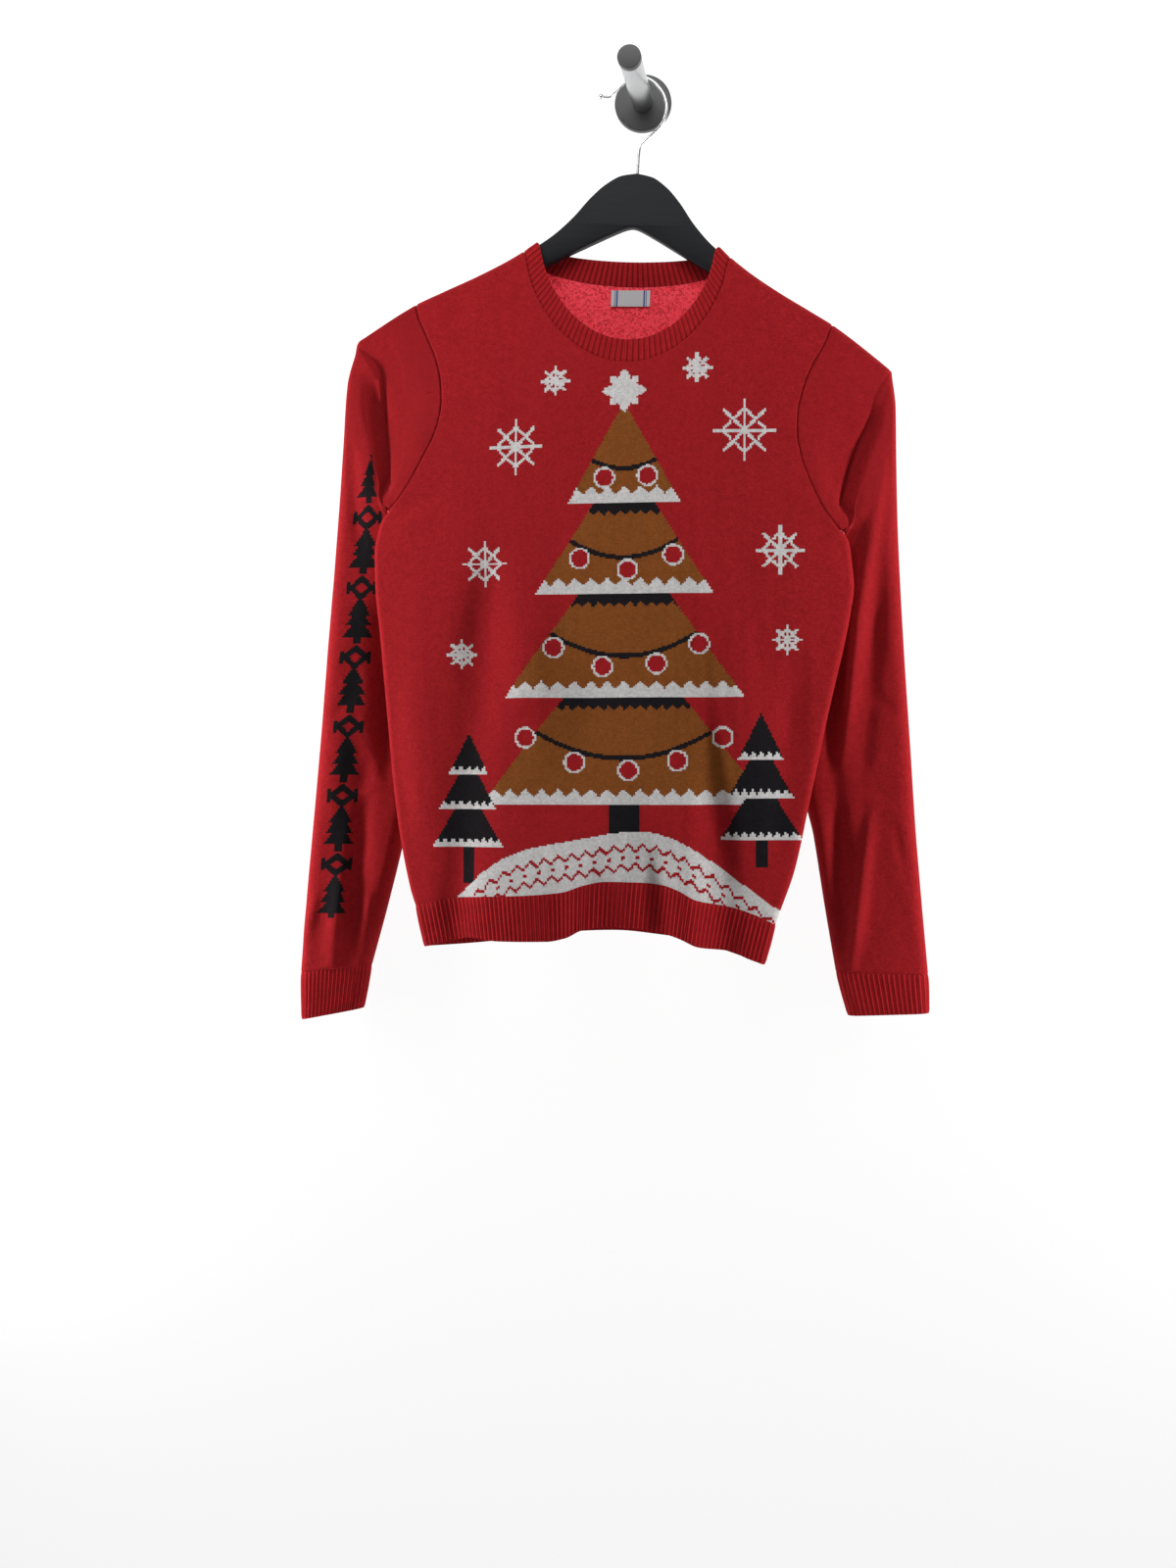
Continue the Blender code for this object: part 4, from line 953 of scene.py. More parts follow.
def fold_line(side, row, across):
    """Front view of the sleeve's fold, or of the valley outside it, from shoulder to armpit."""
    top = (TUCK_TOPS[side]["x"][row], TUCK_TOPS[side]["height"][row])
    low = seam_line(side)[-1]
    outward = OUTWARD[side] * VALLEY_WIDTH * row
    line = [top]
    for part in np.linspace(*FOLD_STOPS):
        height = top[1] + (low[1] - top[1]) * part
        line.append((edge_x(side, height) + outward, height))
    return along(line + [low], across)


def seam_ring(side):
    """Closed ring of the armhole seam on both faces, its normals and its way to the sleeve."""
    rings = []
    for ahead, behind in zip(seam_frame(side, "front"), seam_frame(side, "back")):
        ring = np.concatenate([ahead, behind[-2:0:-1]])
        for end in (0, SEAM_ROWS - 1):
            ring[end] = (ahead[end] + behind[end]) / 2
        rings.append(ring)
    return rings


def cap_rings(side, across, is_front):
    """Rings of the sleeve's cap: the armhole seam, the front layer, its fold and the valley."""
    points, _, beside = seam_ring(side)
    flat_seam = points[:, (0, 2)]
    flat_fold, flat_valley = fold_line(side, 0, across), fold_line(side, 1, across)
    span = np.linalg.norm(flat_fold - flat_seam, axis=1) + 0.01
    away = np.sin(math.pi * np.clip(across, 0, 1)) ** 0.5
    sign = np.where(is_front, -1, 1)
    end_half = ARMPIT_HALF * rounded((1 - across) * ARMHOLE_LENGTH, ARMPIT_HALF, 2)
    end_share = ease(across, *FAN_SHARE)

    def finished(flat, depth, end_depth):
        depth = depth + (end_depth + sign * end_half - depth) * end_share
        return np.stack([flat[:, 0], depth, flat[:, 1]], -1)

    rings = [points + SEAM_GAP / 2 * beside]
    for ring, (share, tucked, end_gap) in enumerate(CAP_RINGS):
        part = share - np.maximum(end_gap * (1 - away), np.minimum(tucked / span, end_gap))
        flat = flat_seam + (flat_fold - flat_seam) * part[:, None]
        flat[0, 1] = ridge_height(flat[0, 0])
        flat, end_depth = fanned(side, ring, across, flat)
        front = layer_depth("front", flat[:, 0], flat[:, 1])
        seam_back = layer_depth("back", flat_seam[:, 0], flat_seam[:, 1])
        drop = ridge_height(flat[:, 0]) - flat[:, 1]
        fold_back = HANGER_PLANE + (curve(TUCK_BACK_DEPTH, drop, "depth")
                                    - HANGER_PLANE) * over_ridge(drop)
        depth = np.where(is_front, front, seam_back + (fold_back - seam_back) * part)
        depth[0] = HANGER_PLANE
        rings.append(finished(flat, depth, end_depth))
    flat, end_depth = fanned(side, len(CAP_RINGS), across, flat_valley)
    tip = 1 - ease(across, *TIP_FADE)
    depth = HANGER_PLANE + (end_depth - HANGER_PLANE) * across
    depth = depth - np.where(is_front, VALLEY_STEP + tip * (TIP_HALF - VALLEY_STEP),
                             -VALLEY_BACK) * edge_swell(across, *VALLEY_SWELL)
    return rings + [finished(flat, depth, end_depth)]


def finer_rings(rings, count):
    """Rings evenly placed along a tube, smooth through the given ones, and closer at its ends."""
    steps = np.linalg.norm(np.diff(rings, axis=0), axis=-1).mean(axis=1)
    stations = np.concatenate(([0], np.cumsum(steps)))
    wanted = np.unique(np.concatenate([stations, np.linspace(0, stations[-1], count), CLOSE_IN,
                                       stations[-1] - CLOSE_IN]))
    close = np.diff(wanted, prepend=-1) > CLOSEST_RINGS
    wanted = wanted[close | np.isin(wanted, stations)]
    made = np.empty((len(wanted), *rings.shape[1:]))
    for column in range(rings.shape[1]):
        for axis in range(3):
            made[:, column, axis] = smooth(wanted, stations, rings[:, column, axis])
    return made, wanted, steps


def sleeve_walls(side):
    """Outer and inner points of a sleeve with its creases, and how far down it each ring is."""
    around = np.concatenate([SEAM_STOPS, 2 - SEAM_STOPS[-2:0:-1]]) / 2
    across = np.where(around <= 0.5, 2 * around, 2 - 2 * around)
    rings = cap_rings(side, across, around < 0.5)
    for index in range(len(SLEEVE[side]["half"])):
        ring = tube_ring(row_of(SLEEVE[side], index), around)
        if len(rings) <= len(FAN["angle"]):
            ring[:, (0, 2)], _ = fanned(side, len(rings) - 1, across, ring[:, (0, 2)])
        rings.append(ring)
    outer, stations, steps = finer_rings(np.array(rings), SLEEVE_RINGS)
    normal = tube_normals(outer) * -OUTWARD[side]
    normal[0] = seam_ring(side)[1]
    normal[-1, :, 2] = 0
    normal = unit(normal)
    x, height = outer[..., 0], outer[..., 2]
    start, end = steps[:len(CAP_RINGS) + 1].sum(), stations[-1]
    free = ease(stations, start - 3, start + 3) * (1 - ease(stations, end - 3, end))
    turn = np.sin(math.pi * across)[None, :] ** 0.4
    face = np.where(around <= 0.5, crease_height(side + "_front", x, height),
                    crease_height(side + "_back", x, height))
    uneven = ripple(x, height, RIPPLE_SEED["sleeve"]) * ease(stations, 2, 30)[:, None]
    lift = free[:, None] * turn * face + uneven * turn
    outer = outer + normal * lift[..., None]
    lean = CAP_LEAN * ease(stations, 4, start - 2) * (1 - ease(stations, start - 1, start + 2))
    outer[..., 1] += lean[:, None] * np.sin(math.pi * across) ** 0.9 * (around < 0.5)
    inner = outer - CLOTH * normal
    dip = np.maximum(groove(outer, outer[:1]), groove(outer, outer[-1:], BAND_GROOVE))
    return outer - normal * dip[..., None], inner, stations


def cuff_walls(side, outer, inner):
    """Walls of a cuff, sewn to a sleeve's last ring."""
    count = RIB_POINTS * CUFF_RIBS
    places = even_places(outer, count, closed=True)
    fine = np.linspace(0, 1, CUFF_POINTS)[:-1]
    behind = fine > 0.5
    turn = (1 - np.cos(2 * math.pi * (fine - 0.5 * behind))) / 4 + 0.5 * behind
    ring = tube_ring(row_of(CUFF_EDGE[side], 0), turn)
    free = at_places(ring, even_places(ring, count, closed=True), closed=True)
    normal = unit(np.cross(ring_headings(free), (0, 0, -OUTWARD[side])))
    return ribbed_walls(at_places(outer, places, True), at_places(inner, places, True),
                        free, normal, BAND_WAVE["cuff"])


# Shader maths
def step_of(operation, swapped=False):
    """A method of Term that adds one step of arithmetic."""
    def method(self, *others):
        return self.graph.math(operation, *((*others, self) if swapped else (self, *others)))
    return method


class Term:
    """A number in a material that differs from place to place."""

    def __init__(self, graph, socket):
        self.graph = graph
        self.socket = socket

    __add__ = __radd__ = step_of("ADD")
    __sub__ = step_of("SUBTRACT")
    __rsub__ = step_of("SUBTRACT", swapped=True)
    __mul__ = __rmul__ = __and__ = step_of("MULTIPLY")
    __truediv__ = step_of("DIVIDE")
    __abs__ = step_of("ABSOLUTE")
    __lt__ = step_of("LESS_THAN")
    __gt__ = step_of("GREATER_THAN")
    __or__ = step_of("MAXIMUM")
    least = step_of("MINIMUM")
    floor = step_of("FLOOR")
    fraction = step_of("FRACT")
    sine = step_of("SINE")


class Graph:
    """Writes the nodes of one Principled material."""

    def __init__(self, name, roughness, metallic=0.0, **settings):
        self.material = bpy.data.materials.new(name)
        self.material.use_nodes = True
        self.tree = self.material.node_tree
        self.shader = self.tree.nodes["Principled BSDF"]
        self.set(Roughness=roughness, Metallic=metallic, **settings)

    def set(self, **settings):
        """Sets the shader's sockets, with _ for a space in a socket's name."""
        for key, value in settings.items():
            self.shader.inputs[key.replace("_", " ")].default_value = value

    def node(self, kind, **settings):
        """A new node with its settings."""
        made = self.tree.nodes.new(kind)
        for key, value in settings.items():
            setattr(made, key, value)
        return made

    def link(self, source, target):
        """Joins an output to an input."""
        self.tree.links.new(source, target)

    def put(self, socket, value):
        """Sets or links a socket."""
        if isinstance(value, Term):
            self.link(value.socket, socket)
        elif isinstance(value, tuple) and len(value) == 3 and socket.type == "RGBA":
            socket.default_value = (*value, 1.0)
        else:
            socket.default_value = value

    def math(self, operation, *values):
        """One step of arithmetic."""
        made = self.node("ShaderNodeMath", operation=operation)
        for socket, value in zip(made.inputs, values):
            self.put(socket, value)
        return Term(self, made.outputs[0])

    def parts(self, vector):
        """The three numbers of a vector."""
        made = self.node("ShaderNodeSeparateXYZ")
        self.link(vector, made.inputs[0])
        return [Term(self, output) for output in made.outputs]

    def stitch(self):
        """The two stitch coordinates, in millimetres."""
        return self.parts(self.node("ShaderNodeUVMap", uv_map="Stitch").outputs[0])[:2]

    def noise(self, scale, detail=2.0, stretch=(1, 1, 1)):
        """Noise in the object's own space."""
        mapping = self.node("ShaderNodeMapping")
        mapping.inputs["Scale"].default_value = stretch
        made = self.node("ShaderNodeTexNoise")
        made.inputs["Scale"].default_value = scale
        made.inputs["Detail"].default_value = detail
        self.link(self.node("ShaderNodeTexCoord").outputs["Object"], mapping.inputs["Vector"])
        self.link(mapping.outputs[0], made.inputs["Vector"])
        return Term(self, made.outputs["Fac"])

    def random(self, u, v):
        """A random number for each pair of numbers."""
        joined = self.node("ShaderNodeCombineXYZ")
        self.put(joined.inputs[0], u)
        self.put(joined.inputs[1], v)
        made = self.node("ShaderNodeTexWhiteNoise", noise_dimensions="2D")
        self.link(joined.outputs[0], made.inputs["Vector"])
        return Term(self, made.outputs["Value"])

    def mix(self, share, first, second):
        """A colour between two."""
        made = self.node("ShaderNodeMix", data_type="RGBA")
        for socket, value in zip((made.inputs["Factor"], *made.inputs[6:8]),
                                 (share, first, second)):
            self.put(socket, value)
        return Term(self, made.outputs[2])

    def shade(self, colour, amount):
        """A colour made lighter or darker."""
        made = self.node("ShaderNodeVectorMath", operation="SCALE")
        self.put(made.inputs[0], colour)
        self.put(made.inputs["Scale"], amount)
        return Term(self, made.outputs[0])

    def paint(self, colour):
        """Sets the base colour."""
        self.put(self.shader.inputs["Base Color"], colour)

    def roughness(self, value):
        """Sets an uneven roughness."""
        self.put(self.shader.inputs["Roughness"], value)

    def bump(self, height, distance, strength):
        """Raises the surface by a height."""
        made = self.node("ShaderNodeBump")
        made.inputs["Distance"].default_value = distance
        made.inputs["Strength"].default_value = strength
        self.put(made.inputs["Height"], height)
        self.link(made.outputs[0], self.shader.inputs["Normal"])
        return self.material


# Motifs of the picture, each a 0 or 1 mask of whole stitches
def any_of(masks):
    """Where any of several masks holds."""
    return functools.reduce(operator.or_, masks)


def box(x, z, low, high, bottom, top):
    """A rectangle."""
    return (x > low) & (x < high) & (z > bottom) & (z < top)


def disc(x, z, centre, radius):
    """A round patch."""
    return ((x - centre[0]) * (x - centre[0]) + (z - centre[1]) * (z - centre[1])) < radius ** 2


def teeth(x, period, size):
    """A zigzag line's height."""
    return abs((x / period).fraction() - 0.5) * (2 * size)


def cone(x, z, centre, tip, top, bottom, half):
    """Everything under the sloping sides of one tier of a fir."""
    return abs(x - centre) < (z * -1 + (tip + top)) * (half / (top - bottom))


def fir(x, z, centre, tip, tiers):
    """A fir tree of stacked tiers, each with its top, bottom and half width."""
    return any_of(cone(x, z, centre, tip, *tier) & (z > tip + tier[1]) for tier in tiers)


def fir_trim(x, z, depth, period, size, centre, tip, tiers):
    """Snow along the lower edge of each tier, with a zigzag upper edge."""
    strips = []
    for tier in tiers:
        over = z - (tip + tier[1])
        strip = (over > 0) & (over < depth + teeth(x - centre, period, size))
        strips.append(strip & cone(x, z, centre, tip, *tier))
    return any_of(strips)


def fir_stem(x, z, half, bottom, centre, tip, tiers):
    """The stem below a fir's lowest tier."""
    return box(x, z, centre - half, centre + half, bottom, tip + tiers[-1][1])


def star(x, z, centre, radius):
    """An eight-pointed star."""
    across, up = abs(x - centre[0]), abs(z - centre[1])
    pointed = (across + up) < radius
    square = (across < radius * 0.66) & (up < radius * 0.66)
    waist = ((across * 2.6 + up) < radius * 1.25) | ((across + up * 2.6) < radius * 1.25)
    return (pointed & waist) | (square & (abs(across - up) < radius * 0.24))


def flake(x, z, centre, radius):
    """A snowflake of eight arms with small branches."""
    across, up = abs(x - centre[0]), abs(z - centre[1])
    far = across | up
    arms = (across < 1.3) | (up < 1.3) | (abs(across - up) < 1.9)
    branches = (abs(across + up - radius * 0.72) < 1.6) & (far > radius * 0.40)
    return (far < radius) & (arms & ((across + up) < radius * 1.35) | branches)


# The picture on the front, in millimetres in the front view
BIG_FIR = {"centre": -10.0, "tip": -274.0,
           "tiers": ((0, -86, 48), (-46, -164, 76), (-110, -252, 102), (-188, -344, 124))}
SMALL_FIRS = (
    {"centre": -146.0, "tip": -556.0, "tiers": ((0, -36, 18), (-20, -66, 26), (-46, -98, 32))},
    {"centre": 106.0, "tip": -540.0, "tiers": ((0, -40, 20), (-22, -72, 28), (-50, -108, 35))})
BIG_TRIM = {"depth": 7.0, "period": 14.0, "size": 7.0}
SMALL_TRIM = {"depth": 3.0, "period": 7.0, "size": 5.0}
BIG_STEM = 13.0
SMALL_STEM = 5.0
SMALL_STEM_FOOT = -130.0
SHADOW_DEPTH = 7.0
GARLANDS = ((-331, 0.010, (-17, 20)), (-407, 0.0070, (-38, 3, 42)),
            (-491, 0.0050, (-60, -18, 28, 64)), (-578, 0.0040, (-84, -42, 4, 46, 84)))
GARLAND_HALF = 2.1
BAUBLE_RADIUS = 9.2
BAUBLE_RIM = 1.9
BAUBLE_DROP = 10.5
STAR = (-10.0, -264.0, 19.0)
FLAKES = ((-104, -310, 24), (92, -300, 26), (-132, -410, 20), (122, -402, 21), (-70, -254, 13),
          (52, -246, 13), (-152, -488, 13), (128, -478, 13))
GROUND_TOP = -641.0
GROUND_FOOT = -12.0
GROUND_WAVE = 4.0
GROUND_TURN = (0.043, 0.6)
GROUND_CENTRE = -22.0
GROUND_HALF = 140.0
GROUND_FALL = 62.0
GROUND_LINE = 1.5
GROUND_TEETH = (12, 6)
SHADOW_TEETH = (9, 4)

# The column down the right sleeve: firs of three tiers, each with its top, its bottom and its
# slope, above diamonds
SLEEVE_PERIOD = 61.0
SLEEVE_TIERS = ((54.0, 37.0, 0.60), (46.0, 28.0, 0.66), (37.0, 18.0, 0.72))
SLEEVE_SPAN = (-718.0, -311.0)
SLEEVE_HALF = 14.5


def stitch_centres(u, v):
    """The middle of the stitch that a place lies in."""
    return (((place / size).floor() + 0.5) * size for place, size in ((u, WALE), (v, COURSE)))


def front_picture(graph, u, v, red):
    """Colour of the front: a snowy fir wood under a star, charted in whole stitches."""
    x, z = stitch_centres(u, v)
    tree = fir(x, z, **BIG_FIR)
    shadows = []
    for _, bottom, _ in BIG_FIR["tiers"][:-1]:
        under = (BIG_FIR["tip"] + bottom) - z
        shadows.append((under > 0) & (under < SHADOW_DEPTH + teeth(x, *SHADOW_TEETH)))
    layers = [(tree, OCHRE), (any_of(shadows) & tree, BLACK),
              (fir_trim(x, z, **BIG_TRIM, **BIG_FIR), WHITE),
              (fir_stem(x, z, BIG_STEM, GROUND_TOP + GROUND_FOOT, **BIG_FIR), BLACK)]
    for small in SMALL_FIRS:
        foot = small["tip"] + SMALL_STEM_FOOT
        layers += [(fir(x, z, **small), BLACK), (fir_trim(x, z, **SMALL_TRIM, **small), WHITE),
                   (fir_stem(x, z, SMALL_STEM, foot, **small), BLACK)]
    from_fir = x - BIG_FIR["centre"]
    garland = any_of(abs(z - (from_fir * from_fir * bend + low)) < GARLAND_HALF
                     for low, bend, _ in GARLANDS)
    layers.append((garland & tree, BLACK))
    for low, bend, places in GARLANDS:
        for place in places:
            centre = (BIG_FIR["centre"] + place, low + bend * place * place - BAUBLE_DROP)
            layers += [(disc(x, z, centre, BAUBLE_RADIUS), WHITE),
                       (disc(x, z, centre, BAUBLE_RADIUS - BAUBLE_RIM), red)]
    flakes = any_of(flake(x, z, row[:2], row[2]) for row in FLAKES)
    layers.append((flakes | star(x, z, STAR[:2], STAR[2]), WHITE))
    far = (x - GROUND_CENTRE) / GROUND_HALF
    hills = (x * GROUND_TURN[0] + GROUND_TURN[1]).sine() * GROUND_WAVE - far * far * GROUND_FALL
    top = hills + GROUND_TOP
    ground, under = z < top, top - z
    zigzag = abs(under - 11.0 - teeth(x, *GROUND_TEETH)) < GROUND_LINE
    second = abs(under - 33.0 + teeth(x, *GROUND_TEETH)) < GROUND_LINE
    dots = (abs(under - 22.0) < GROUND_LINE) & ((x / GROUND_TEETH[0]).fraction() < 0.3)
    layers += [(ground, WHITE), (ground & (zigzag | second | dots), red)]
    colour = red
    for mask, paint in layers:
        colour = graph.mix(mask, colour, paint)
    return colour


def sleeve_picture(graph, u, v, red):
    """Colour of the right sleeve: a column of small firs and diamonds in black."""
    x, z = stitch_centres(u, v)
    step = (z / SLEEVE_PERIOD).fraction() * SLEEVE_PERIOD
    side = abs(x)
    tree = any_of((side < (top - step) * slope) & (step > bottom)
                  for top, bottom, slope in SLEEVE_TIERS)
    stem = (side < 3.6) & (step > 12.0) & (step < 20.0)
    near = abs(step - SLEEVE_PERIOD / 2).least(SLEEVE_PERIOD) * -1 + SLEEVE_PERIOD / 2
    diamond = abs(side + near * 1.15 - 9.2) < 3.9
    edge = (abs(side - 12.6) < 1.8) & (near < 5.5)
    place = (z > SLEEVE_SPAN[0]) & (z < SLEEVE_SPAN[1]) & (side < SLEEVE_HALF)
    return graph.mix((tree | stem | diamond | edge) & place, red, BLACK)


# Materials
def yarn_graph(name):
    """Matt yarn with a slight red sheen."""
    return Graph(name, 0.9, Sheen_Weight=0.12, Sheen_Roughness=0.4, Specular_IOR_Level=0.05,
                 Sheen_Tint=(1.0, 0.16, 0.17, 1.0))


def knit_material(name, colour, picture=None, purl=False):
    """Stocking stitch in the stitch coordinates, right side or wrong side."""
    graph = yarn_graph(name)
    u, v = graph.stitch()
    base = picture(graph, u, v, colour) if picture else colour
    wale, course = u / WALE, v / COURSE
    across = wale.fraction() - 0.5
    if purl:
        wave = (course + (wale.floor() * 0.5)).fraction() - 0.5
        height = (1 - across * across * 3.0) * (1 - abs(wave) * 2.0)
        graph.set(Subsurface_Weight=0.7, Subsurface_Radius=(1.0, 0.16, 0.2),
                  Subsurface_Scale=0.004)
    else:
        leg = abs(across) * 2
        slant = (course + leg * 0.85).fraction() - 0.5
        height = (1 - (leg - 0.52) * (leg - 0.52) * 3.2) * (1 - slant * slant * 3.0)
    low, gain, uneven, clouds = YARN_SHADE_AND_TONES["purl" if purl else "plain"]
    tone = graph.random(wale.floor(), course.floor()) * uneven + (1 - uneven / 2)
    cloudy = graph.noise(260, 3) * clouds + (1 - clouds / 2)
    streak = graph.noise(9, 2, (16, 16, 1)) * 0.16 + 0.92
    # The stitch height scales the colour: painted shade between the loops, on top of the bump; on
    # the wrong side the factor also rises above one, as painted light
    graph.paint(graph.shade(base, (height * gain + low) * tone * cloudy * streak))
    return graph.bump(height, 0.0007, 0.55)


def rib_material(name, colour):
    """One-by-one rib: a column of stitches on each rib, with painted shade in the groove between
    and under each stitch's relief.
    """
    graph = yarn_graph(name)
    u, v = graph.stitch()
    rib, course = u / RIB_PITCH, v / COURSE
    side = abs(rib.fraction() - 0.5) * 2
    slant = (course + side * 0.9).fraction() - 0.5
    height = (1 - slant * slant * 3.0) * (1 - (side > 0.62))
    tone = graph.random(rib.floor(), course.floor()) * 0.12 + 0.94
    groove_shade = 1 - (side * side * side) * 0.62
    cloudy = graph.noise(22, 3) * 0.2 + 0.9
    # Painted shade: darker in the grooves between ribs and low on each stitch
    graph.paint(graph.shade(colour, (height * 0.3 + 0.78) * tone * groove_shade * cloudy))
    return graph.bump(height, 0.0006, 0.5)


def satin_material():
    """Woven satin label with two plain blue stripes at each end."""
    graph = Graph("label_satin", 0.45, Specular_IOR_Level=0.4)
    u, v = graph.stitch()
    thread = (v / 0.35).fraction() - 0.5
    weft = (u / 0.5).fraction() - 0.5
    height = (1 - thread * thread * 2.4) * (1 - weft * weft * 1.2)
    edge = abs(u)
    stripe = any_of((edge > low) & (edge < high) for low, high in LABEL_STRIPES)
    colour = graph.mix(stripe, LABEL_WHITE, LABEL_BLUE)
    # The thread height scales the colour: painted shade in the weave's hollows
    graph.paint(graph.shade(colour, height * 0.18 + 0.84))
    return graph.bump(height, 0.0002, 0.5)


def wood_material():
    """Matt black lacquer over wood: faint grain and patches of wear."""
    graph = Graph("hanger_lacquer", 0.42, Specular_IOR_Level=0.2)
    grain = graph.noise(60, 5, (1, 1, 7))
    wear = graph.noise(14, 3)
    graph.paint(graph.mix(grain * 0.55 + wear * 0.25, *LACQUER))
    graph.roughness(grain * 0.16 + 0.42)
    return graph.bump(grain, 0.0004, 0.25)


def steel_material(name, colour, roughness, stretch):
    """Polished steel with fine drawn lines."""
    graph = Graph(name, roughness, 1.0)
    lines = graph.noise(340, 2, stretch)
    graph.paint(graph.shade(colour, lines * 0.12 + 0.94))
    graph.roughness(lines * 0.14 + (roughness - 0.06))
    return graph.bump(lines, 0.00005, 0.3)


def plastic_material():
    """Satin black of the plate and cap, with a fine grain."""
    graph = Graph("peg_black", 0.4, Specular_IOR_Level=0.5)
    grain = graph.noise(900, 2)
    graph.paint(graph.mix(graph.noise(35, 4), *PLASTIC))
    graph.roughness(grain * 0.14 + 0.34)
    return graph.bump(grain, 0.00008, 0.3)


# Pieces
def stands_for(piece, node):
    """Hides the solid that a piece stands for."""
    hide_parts(node)


def label_piece():
    """The woven label on the inside of the back, made from the panel's own points."""
    width, height = LABEL_SIZE
    across = np.linspace(-width / 2, width / 2, LABEL_COLUMNS)
    down = np.linspace(0, -height, LABEL_ROWS)
    cos, sin = math.cos(LABEL_TILT), math.sin(LABEL_TILT)
    x = LABEL_TOP[0] + across[None, :] * cos - down[:, None] * sin
    z = LABEL_TOP[1] + across[None, :] * sin + down[:, None] * cos
    normal = layer_normal("back", x, z)
    curl = LABEL_CURL * (np.abs(across[None, :]) / (width / 2)) ** 4 * (-down[:, None] / height)
    near = layer_points("back", x, z) - normal * (CLOTH + LABEL_GAP + curl)[..., None]
    flat = np.stack(np.meshgrid(across, down), -1)
    return cloth_object("label_woven", (near, near - LABEL_THICKNESS * normal), flat,
                        [satin_material()] * 2)


def hanger_piece(material):
    """The flat hanger with rounded edges."""
    half = [(x, float(curve(HANGER_TOP, x))) for x in np.linspace(0, *HANGER_TOP_STOPS)]
    for angle in np.radians(np.linspace(*HANGER_TIP_TURN)):
        half.append((HANGER_TIP_CENTRE[0] + HANGER_TIP_RADIUS * math.cos(angle),
                     HANGER_TIP_CENTRE[1] + HANGER_TIP_RADIUS * math.sin(angle)))
    half += [(x, HANGER_V_LEVEL - HANGER_V_SLOPE * math.hypot(x, HANGER_V_ROUND))
             for x in HANGER_V_STOPS]
    mirrored = [(-x, z) for x, z in half[-2:0:-1]]
    outline = np.array([from_hanger(x, z) for x, z in half + mirrored])
    ahead = unit(ring_headings(outline))
    inward = np.stack([ahead[:, 1], -ahead[:, 0]], -1)
    profile = []
    for angle in np.radians(np.linspace(90, 0, 5)):
        profile.append((HANGER_EDGE * (1 - math.cos(angle)),
                        HANGER_THICKNESS / 2 - HANGER_EDGE * (1 - math.sin(angle))))
    rings = []
    for inset, depth in profile + [(inset, -depth) for inset, depth in profile[::-1]]:
        flat = outline + inward * inset
        rings.append(np.insert(flat, 1, HANGER_PLANE - depth, axis=1))
    return lofted("hanger_board", rings, material)


def lofted(name, rings, material):
    """A closed solid through rings, with a flat face at each end."""
    count, last = len(rings[0]), (len(rings) - 1) * len(rings[0])
    faces = []
    for start in range(0, last, count):
        for index in range(count):
            after = (index + 1) % count
            faces.append((start + index, start + after, start + count + after,
                          start + count + index))
    faces += [tuple(range(count))[::-1], tuple(range(last, last + count))]
    return mesh_object(name, np.concatenate(rings), faces, [material])


def hook_piece(material):
    """The wire hook, with a small ball at its free end."""
    line = np.insert(along(pairs(HOOK_WIRE), np.linspace(0, 1, WIRE_RINGS)), 1, HANGER_PLANE,
                     axis=1)
    radii = [WIRE_RADIUS] * len(line)
    heading = unit(line[-1] - line[-2])
    ball = []
    for angle in np.radians(np.linspace(*BALL_TURN)):
        ball.append(line[-1] + heading * BALL_RADIUS * (1 - math.cos(angle)))
        radii.append(BALL_RADIUS * math.sin(angle))
    line = np.concatenate([line, ball])
    sideways = np.array([0.0, 1.0, 0.0])
    angles = np.linspace(0, 2 * math.pi, WIRE_SIDES, endpoint=False)[:, None]
    rings = []
    for place, ahead, radius in zip(line, unit(np.gradient(line, axis=0)), radii):
        upright = np.cross(ahead, sideways)
        rings.append(place + radius * (np.cos(angles) * sideways + np.sin(angles) * upright))
    return lofted("hook_wire", rings, material)


def turned_piece(name, profile, material):
    """A piece turned about the peg's axis from pairs of radius and depth."""
    angles = np.linspace(0, 2 * math.pi, TURNED_SIDES, endpoint=False)
    rings = [np.stack([radius * np.cos(angles), np.full(TURNED_SIDES, float(depth)),
                       radius * np.sin(angles)], -1) for radius, depth in profile]
    return lofted(name, rings, material)


def rounded_corner(radius, depth, size):
    """Pairs of radius and depth round a turned piece's front edge."""
    return [(radius - size * (1 - math.cos(angle)), depth + size * (1 - math.sin(angle)))
            for angle in np.radians(np.linspace(0, 90, 6))]


def peg_pieces():
    """Wall plate, rod and end cap."""
    black = plastic_material()
    steel = steel_material("rod_steel", ROD_STEEL, 0.24, (1, 0.02, 1))
    plate = turned_piece("plate_turned", [(PLATE_RADIUS, 0)]
                         + rounded_corner(PLATE_RADIUS, -PLATE_THICKNESS, PLATE_EDGE), black)
    rod = turned_piece("rod_turned", [(ROD_RADIUS, -PLATE_THICKNESS - FACE_GAP),
                                      (ROD_RADIUS, CAP_LENGTH + FACE_GAP - PEG_LENGTH)], steel)
    cap = turned_piece("cap_turned", [(CAP_RADIUS - CAP_BEVEL, CAP_LENGTH - PEG_LENGTH),
                                      (CAP_RADIUS, CAP_LENGTH - PEG_LENGTH - CAP_BEVEL)]
                       + rounded_corner(CAP_RADIUS, -PEG_LENGTH, CAP_EDGE), black)
    stands_for(plate, "wall_plate")
    stands_for(rod, "peg_rod")
    stands_for(cap, "peg_cap")


